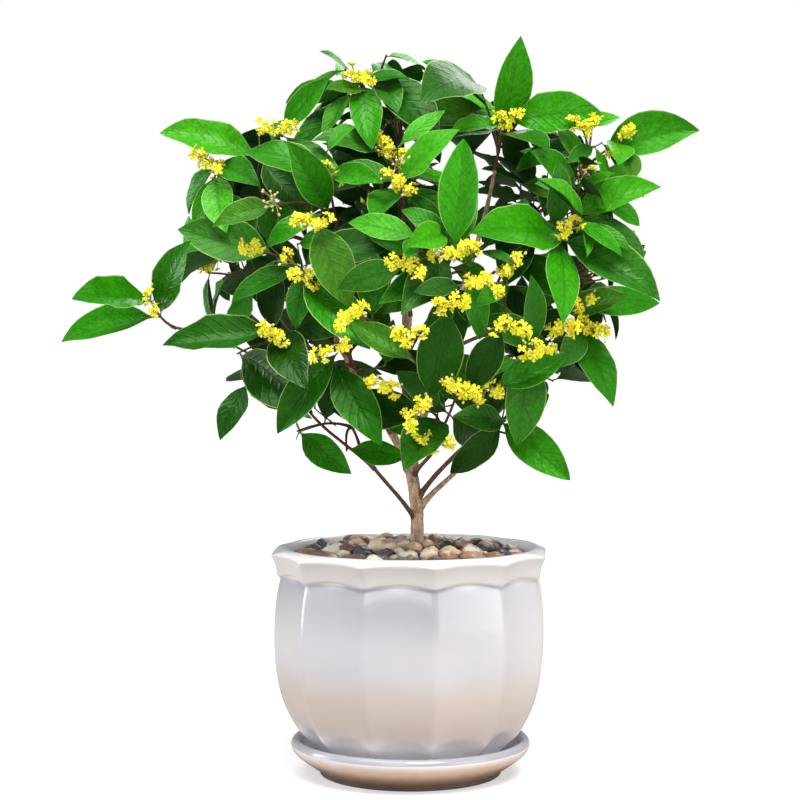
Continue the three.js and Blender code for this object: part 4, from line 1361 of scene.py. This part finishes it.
# The row from which on a leaf may cross no other, and how much of its waves and of its width it keeps,
# try by try, until it crosses none
FREE_ROW = 3
CALMER = ((1, 1), (0.6, 1), (0.3, 1), (0, 0.95), (0, 0.8))


def leaf_tone(leaf, random):
    """Painted shade inside and low in the crown, painted light at its rim and on the right, lightest when
    young.
    """
    middle = leaf.place(0.6)
    # Painted light and shade by the leaf's place in the crown
    out = (middle - HEART).length / LIGHT["far"] + (middle.z - LIGHT["middle"]) / LIGHT["height"]
    light = LIGHT["there"] + LIGHT["fall"] * (out - LIGHT["rim"]) + PAINTED_LIGHT_OF_MASSES.get(leaf.mass, 0)
    light += LIGHT["vary"] * (random() - 0.5) + LIGHT["young"] * leaf.young
    drift = random()
    # Dusky leaves take a painted sheen, in its lighter or darker copy by the painted light
    if drift < LIGHT["dusky"]:
        return LEAF_STEPS + int(random() < max(0.1, light))
    if drift > LIGHT["olive"]:
        return LEAF_STEPS + 2
    return int(max(0.0, min(0.999, light)) * LEAF_STEPS)


drawn_leaves = []


def make_leaves():
    """Draws each leaf calmer until it crosses none; one that still does is left out unless it is aimed."""
    # The leaf backs are darkened: painted shade on the undersides
    materials = [plain_skin("leaf_back", (0.018, 0.090, 0.008), 0.6, scale=90.0, Specular_IOR_Level=0.12),
                 plain_skin("leaf_stalk", (0.06, 0.19, 0.015), 0.45), *leaf_skins()]
    random = seeded(400)
    bundles = {False: Bundle(), True: Bundle()}
    faces, kinds = leaf_faces()
    free = faces[FREE_ROW * (len(LEAF_COLUMNS) + 1):-1]
    kept = []
    for leaf in leaves:
        manner = leaf_manner(leaf, random)
        for calm, slim in CALMER:
            points, maps = leaf_rows(leaf, manner, calm, slim)
            blade = Grown(leaf.mass, None, (points, free))
            crosses = any(near(blade, other) and other.tree.overlap(blade.tree) for other in drawn_leaves)
            if not crosses:
                break
        tone = leaf_tone(leaf, random)
        if crosses and not leaf.aimed or leaf.root.z < UNDERSIDE:
            continue
        kept.append(leaf)
        drawn_leaves.append(blade)
        shades = [kind + tone if kind == UPPER else kind for kind in kinds]
        bundles[is_behind(leaf.mass)].add(points, faces, shades, maps)
    leaves[:] = kept
    for behind, bundle in bundles.items():
        nodes = [f"foliage_{name}" for name in MASSES if is_behind(name) == behind]
        bundle.piece("leaves_back" if behind else "leaves_front", materials, "foliage", nodes, 75)


# Blossom

# A petal: how far out, at what angle and how high its points are, and the materials of a floret
PETAL = ((0.09, -45, 0.03), (0.36, -27, 0.13), (0.47, 0, 0.10), (0.36, 27, 0.13), (0.27, 0, 0.05))
PETALS, STAMENS, GOLD_PETALS = range(3)
# A bud: the heights and radii of its rings, between a foot at 0 and a tip
BUD_RINGS = ((0.25, 0.30), (0.65, 0.42), (1.0, 0.30))


def floret_form():
    """Four broad, cupped petals over a small calyx, with a cone of stamens: 1 across from tip to tip."""
    points, faces = [Vector((0, 0, 0.0)), Vector((0, 0, -0.12))], []
    for petal in range(4):
        turn = Matrix.Rotation(TURN * petal / 4, 3, "Z")
        for out, angle, rise in PETAL:
            points.append(turn @ Matrix.Rotation(radians(angle), 3, "Z") @ Vector((out, 0, rise)))
    for petal in range(4):
        notch, left, tip, right, middle = range(2 + 5 * petal, 7 + 5 * petal)
        after = 2 + 5 * ((petal + 1) % 4)
        faces += [(0, notch, middle), (0, middle, after), (middle, notch, left), (middle, left, tip),
                  (middle, tip, right), (middle, right, after)]
        faces += [(1, left, notch), (1, tip, left), (1, right, tip), (1, after, right)]
    kinds = [PETALS] * len(faces) + [STAMENS] * 5
    start = len(points)
    points += [polar(0.07, TURN * (k + 0.5) / 4) for k in range(4)] + [Vector((0, 0, 0.15))]
    faces += [(start + k, start + (k + 1) % 4, start + 4) for k in range(4)]
    faces.append((start + 3, start + 2, start + 1, start))
    return points, faces, kinds


def bud_form():
    points = [Vector((0, 0, 0))]
    for height, radius in BUD_RINGS:
        points += [polar(radius, TURN * k / 6, height) for k in range(6)]
    points.append(Vector((0, 0, 1.2)))
    faces = tube_faces(1, len(BUD_RINGS), 6)
    for k in range(6):
        after = (k + 1) % 6
        faces += [(0, 1 + after, 1 + k), (13 + k, 13 + after, 19)]
    return points, faces


FLORET = floret_form()
BUD = bud_form()


def touches_leaf(place, reach):
    return any((place - leaf.centre).length < leaf.radius + reach and leaf.tree.find_nearest(place, reach)[0]
               for leaf in drawn_leaves)


def behind_leaf(place, forward):
    return any(leaf.tree.ray_cast(place, forward, LEAF_BEFORE)[0] for leaf in drawn_leaves)


def pushed_clear(place, forward, reach, pushes):
    """The place, pushed forward until no leaf is within reach, or None where it stays too near one."""
    for _ in range(pushes + 1):
        if not touches_leaf(place, reach):
            return place
        place = place + forward * PUSH
    return None


def draw_floret(florets, at, turned, wide, random):
    points, faces, kinds = FLORET
    cupped = wide * at_least(HEAD["cupped"], random)
    tone = GOLD_PETALS if random() < HEAD["gold"] else PETALS
    florets.add([at + turned @ Vector((p.x * wide, p.y * wide, p.z * cupped)) for p in points], faces,
                [tone if kind == PETALS else kind for kind in kinds])


def draw_tuft(bundles, heart, root, forward, flowers, random):
    """Florets and buds round the heart of a tuft, on fine stalks that fork from its own."""
    florets, buds, stalks = bundles
    pushes = 0 if behind_leaf(heart, forward) else MOST_PUSHES
    opened = round(at_least(HEAD["florets"], random)) if flowers else 0
    closed = round(at_least(HEAD["buds"], random)) + (0 if flowers else HEAD["more_buds"])
    fork = root + (heart - root) * HEAD["fork"]
    for number in range(opened + closed):
        opens = number < opened
        direction = (scatter(random).normalized() + outward(heart) * 0.5 + FRONT * 0.35).normalized()
        at = heart + direction * at_least(HEAD["stalk"], random)
        axis = (direction + scatter(random) * HEAD["lean"]).normalized()
        turned = axis.to_track_quat("Z", "Y").to_matrix() @ Matrix.Rotation(TURN * random(), 3, "Z")
        wide = at_least(HEAD["wide"], random) if opens else 0
        at = pushed_clear(at, forward, FLORET_REACH * wide if opens else BUD_REACH, pushes)
        if not at:
            continue
        if opens:
            draw_floret(florets, at, turned, wide, random)
        else:
            at = at + direction * HEAD["bud_stalk"]
            tall = at_least(HEAD["tall"], random)
            buds.add([at + turned @ (p * tall) for p in BUD[0]], BUD[1])
        line = bent_line(fork, fork.lerp(at, 0.5) + UP * 0.8, at)
        stalks.add(*limb_form(line, taper(FLORET_STALK), 3, 2))
    line = bent_line(root, root.lerp(heart, 0.4) + UP, heart)
    stalks.add(*limb_form(line, taper(HEAD_STALK), 4, 3))


def make_blossom():
    """Each head is a row of tufts along the end of a twig."""
    florets, buds, stalks = bundles = Bundle(), Bundle(), Bundle()
    random = seeded(600)
    for place, root, size, spin, flowers in clusters:
        forward = (EYE / MM - place).normalized() if place.y < SEEN_DEPTH else outward(place)
        place = place + forward * HEAD["forward"] * size
        row = (spin @ Vector((1, 0, HEAD["rise"] * (random() - 0.5)))).normalized()
        tufts = round(at_least(HEAD["tufts"], random))
        for tuft in range(tufts):
            along = (tuft - (tufts - 1) / 2) * HEAD["step"] * size
            heart = place + row * along + scatter(random) * HEAD["scatter"] * size
            draw_tuft(bundles, heart, root, forward, flowers, random)
    petal_tones = [
        plain_skin("petal_yellow", (1.0, 1.0, 0.06), 0.55, 0.03, 500.0, Specular_IOR_Level=0.2),
        plain_skin("petal_heart", (0.90, 0.58, 0.03), 0.6, 0.2, 500.0),
        plain_skin("petal_gold", (1.0, 0.90, 0.04), 0.55, 0.08, 500.0, Specular_IOR_Level=0.2),
    ]
    florets.piece("florets", petal_tones, "foliage", crease=80)
    buds.piece("flower_buds", [plain_skin("bud_cream", (0.88, 0.72, 0.34), 0.5, 0.2, 400.0)], "foliage")
    stalks.piece("flower_stalks", [plain_skin("stalk_pale", (0.50, 0.50, 0.14), 0.55, 0.3, 400.0)], "foliage")


# Stage, lights and camera

def studio_paper():
    """White paper to the eye, which throws the warm, dimmer light of the photograph's ground."""
    material = bpy.data.materials.new("studio_paper")
    material.use_nodes = True
    tree = material.node_tree
    seen = tree.nodes["Principled BSDF"]
    seen.inputs["Base Color"].default_value = (0.62, 0.615, 0.61, 1)
    seen.inputs["Roughness"].default_value = 0.95
    seen.inputs["Emission Color"].default_value = (1, 1, 1, 1)
    seen.inputs["Emission Strength"].default_value = 0.5
    thrown = tree.nodes.new("ShaderNodeBsdfDiffuse")
    thrown.inputs["Color"].default_value = (0.56, 0.51, 0.47, 1)
    blend_for_eye(tree, thrown, seen, tree.nodes["Material Output"])
    return material


def blend_for_eye(tree, unseen, seen, output):
    """Uses one shader for what the camera sees and the other for the light that is thrown on the plant."""
    blend = tree.nodes.new("ShaderNodeMixShader")
    tree.links.new(tree.nodes.new("ShaderNodeLightPath").outputs["Is Camera Ray"], blend.inputs[0])
    tree.links.new(unseen.outputs[0], blend.inputs[1])
    tree.links.new(seen.outputs[0], blend.inputs[2])
    tree.links.new(blend.outputs[0], output.inputs["Surface"])


def make_stage():
    floor = basic(bpy.ops.mesh.primitive_plane_add, size=400)
    floor.name = "studio_floor"
    floor.data.materials.append(studio_paper())
    floor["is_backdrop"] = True


# Softboxes: where they stand, their width and height, power and colour
SOFTBOXES = {
    "key": ((2.0, -1.2, 0.6), 1.6, 1.7, 23, (1.0, 0.985, 0.96)),
    "fill": ((-0.75, -2.5, 1.15), 1.2, 0.9, 12, (1.0, 0.99, 0.98)),
    "top": ((-0.7, -0.5, 2.2), 1.0, 1.0, 21, (1.0, 1.0, 1.0)),
    "left": ((-2.2, 0.1, 0.5), 0.9, 1.1, 13, (0.82, 0.89, 1.0)),
    "back": ((0.6, 2.0, 1.9), 1.4, 1.0, 14, (1.0, 1.0, 1.0)),
    "strip": ((-1.6, 0.28, 0.45), 0.16, 0.9, 5, (1.0, 1.0, 1.0)),
}
LAMP_TARGET = (0, 0, 0.3)

# Sun: where it comes from, its power, its colour and how wide it is
SUN = ((0.2, -0.55, 1.0), 3.1, (1.0, 0.99, 0.97), 0.5)


def add_light(name, kind, place, target, power, colour):
    light = bpy.data.lights.new(name, kind)
    light.energy = power
    light.color = colour
    lamp = bpy.data.objects.new(name, light)
    lamp.location = place
    lamp.rotation_euler = (Vector(target) - Vector(place)).to_track_quat("-Z", "Y").to_euler()
    bpy.context.collection.objects.link(lamp)
    return light


def make_lights():
    for name, (place, wide, tall, power, colour) in SOFTBOXES.items():
        box = add_light(name, "AREA", place, LAMP_TARGET, power, colour)
        box.shape = "RECTANGLE"
        box.size = wide
        box.size_y = tall
    place, power, colour, wide = SUN
    add_light("sky_glow", "SUN", place, (0, 0, 0), power, colour).angle = wide
    world = bpy.data.worlds.new("studio")
    bpy.context.scene.world = world
    world.use_nodes = True
    nodes = world.node_tree.nodes
    ambient = nodes["Background"]
    ambient.inputs["Color"].default_value = (0.95, 0.97, 1.0, 1)
    ambient.inputs["Strength"].default_value = 0.24
    backdrop = nodes.new("ShaderNodeBackground")
    backdrop.inputs["Color"].default_value = (1, 1, 1, 1)
    blend_for_eye(world.node_tree, ambient, backdrop, nodes["World Output"])
    bpy.context.scene.view_settings.view_transform = "Standard"


def make_camera():
    data = bpy.data.cameras.new("camera")
    data.sensor_width = SENSOR
    data.lens = SENSOR * FOCAL_PIXELS / PHOTO_SIZE
    camera = bpy.data.objects.new("camera", data)
    camera.location = EYE
    camera.rotation_euler = (radians(90 - TILT), 0, 0)
    bpy.context.collection.objects.link(camera)
    bpy.context.scene.camera = camera


make_camera()
dark_earth = earth()
make_saucer(glaze("glaze_saucer", saucer_tone), glaze_below())
make_pot(glaze("glaze_pot", pot_tone))
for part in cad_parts["soil"].material_slots:
    part.material = dark_earth
make_grit(dark_earth)
make_pebbles()
grow_crown()
trunk_bark = bark("bark_old", (0.98, 0.73, 0.52), (0.33, 0.18, 0.10), (1.0, 0.86, 0.70))
bough_bark = bark("bark_bough", (0.26, 0.135, 0.080), (0.08, 0.040, 0.025), (0.46, 0.31, 0.21))
twig_bark = bark("bark_twig", (0.17, 0.070, 0.040), (0.06, 0.025, 0.016), (0.30, 0.17, 0.11))
green_bark = bark("bark_green", (0.12, 0.15, 0.045), (0.06, 0.06, 0.02), (0.30, 0.28, 0.14))
make_trunk(trunk_bark)
make_boughs(trunk_bark, bough_bark)
make_leaves()
make_twigs(twig_bark, green_bark)
make_blossom()
make_stage()
make_lights()

[[list(corner) for corner in box] for box in (cad_box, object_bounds())]
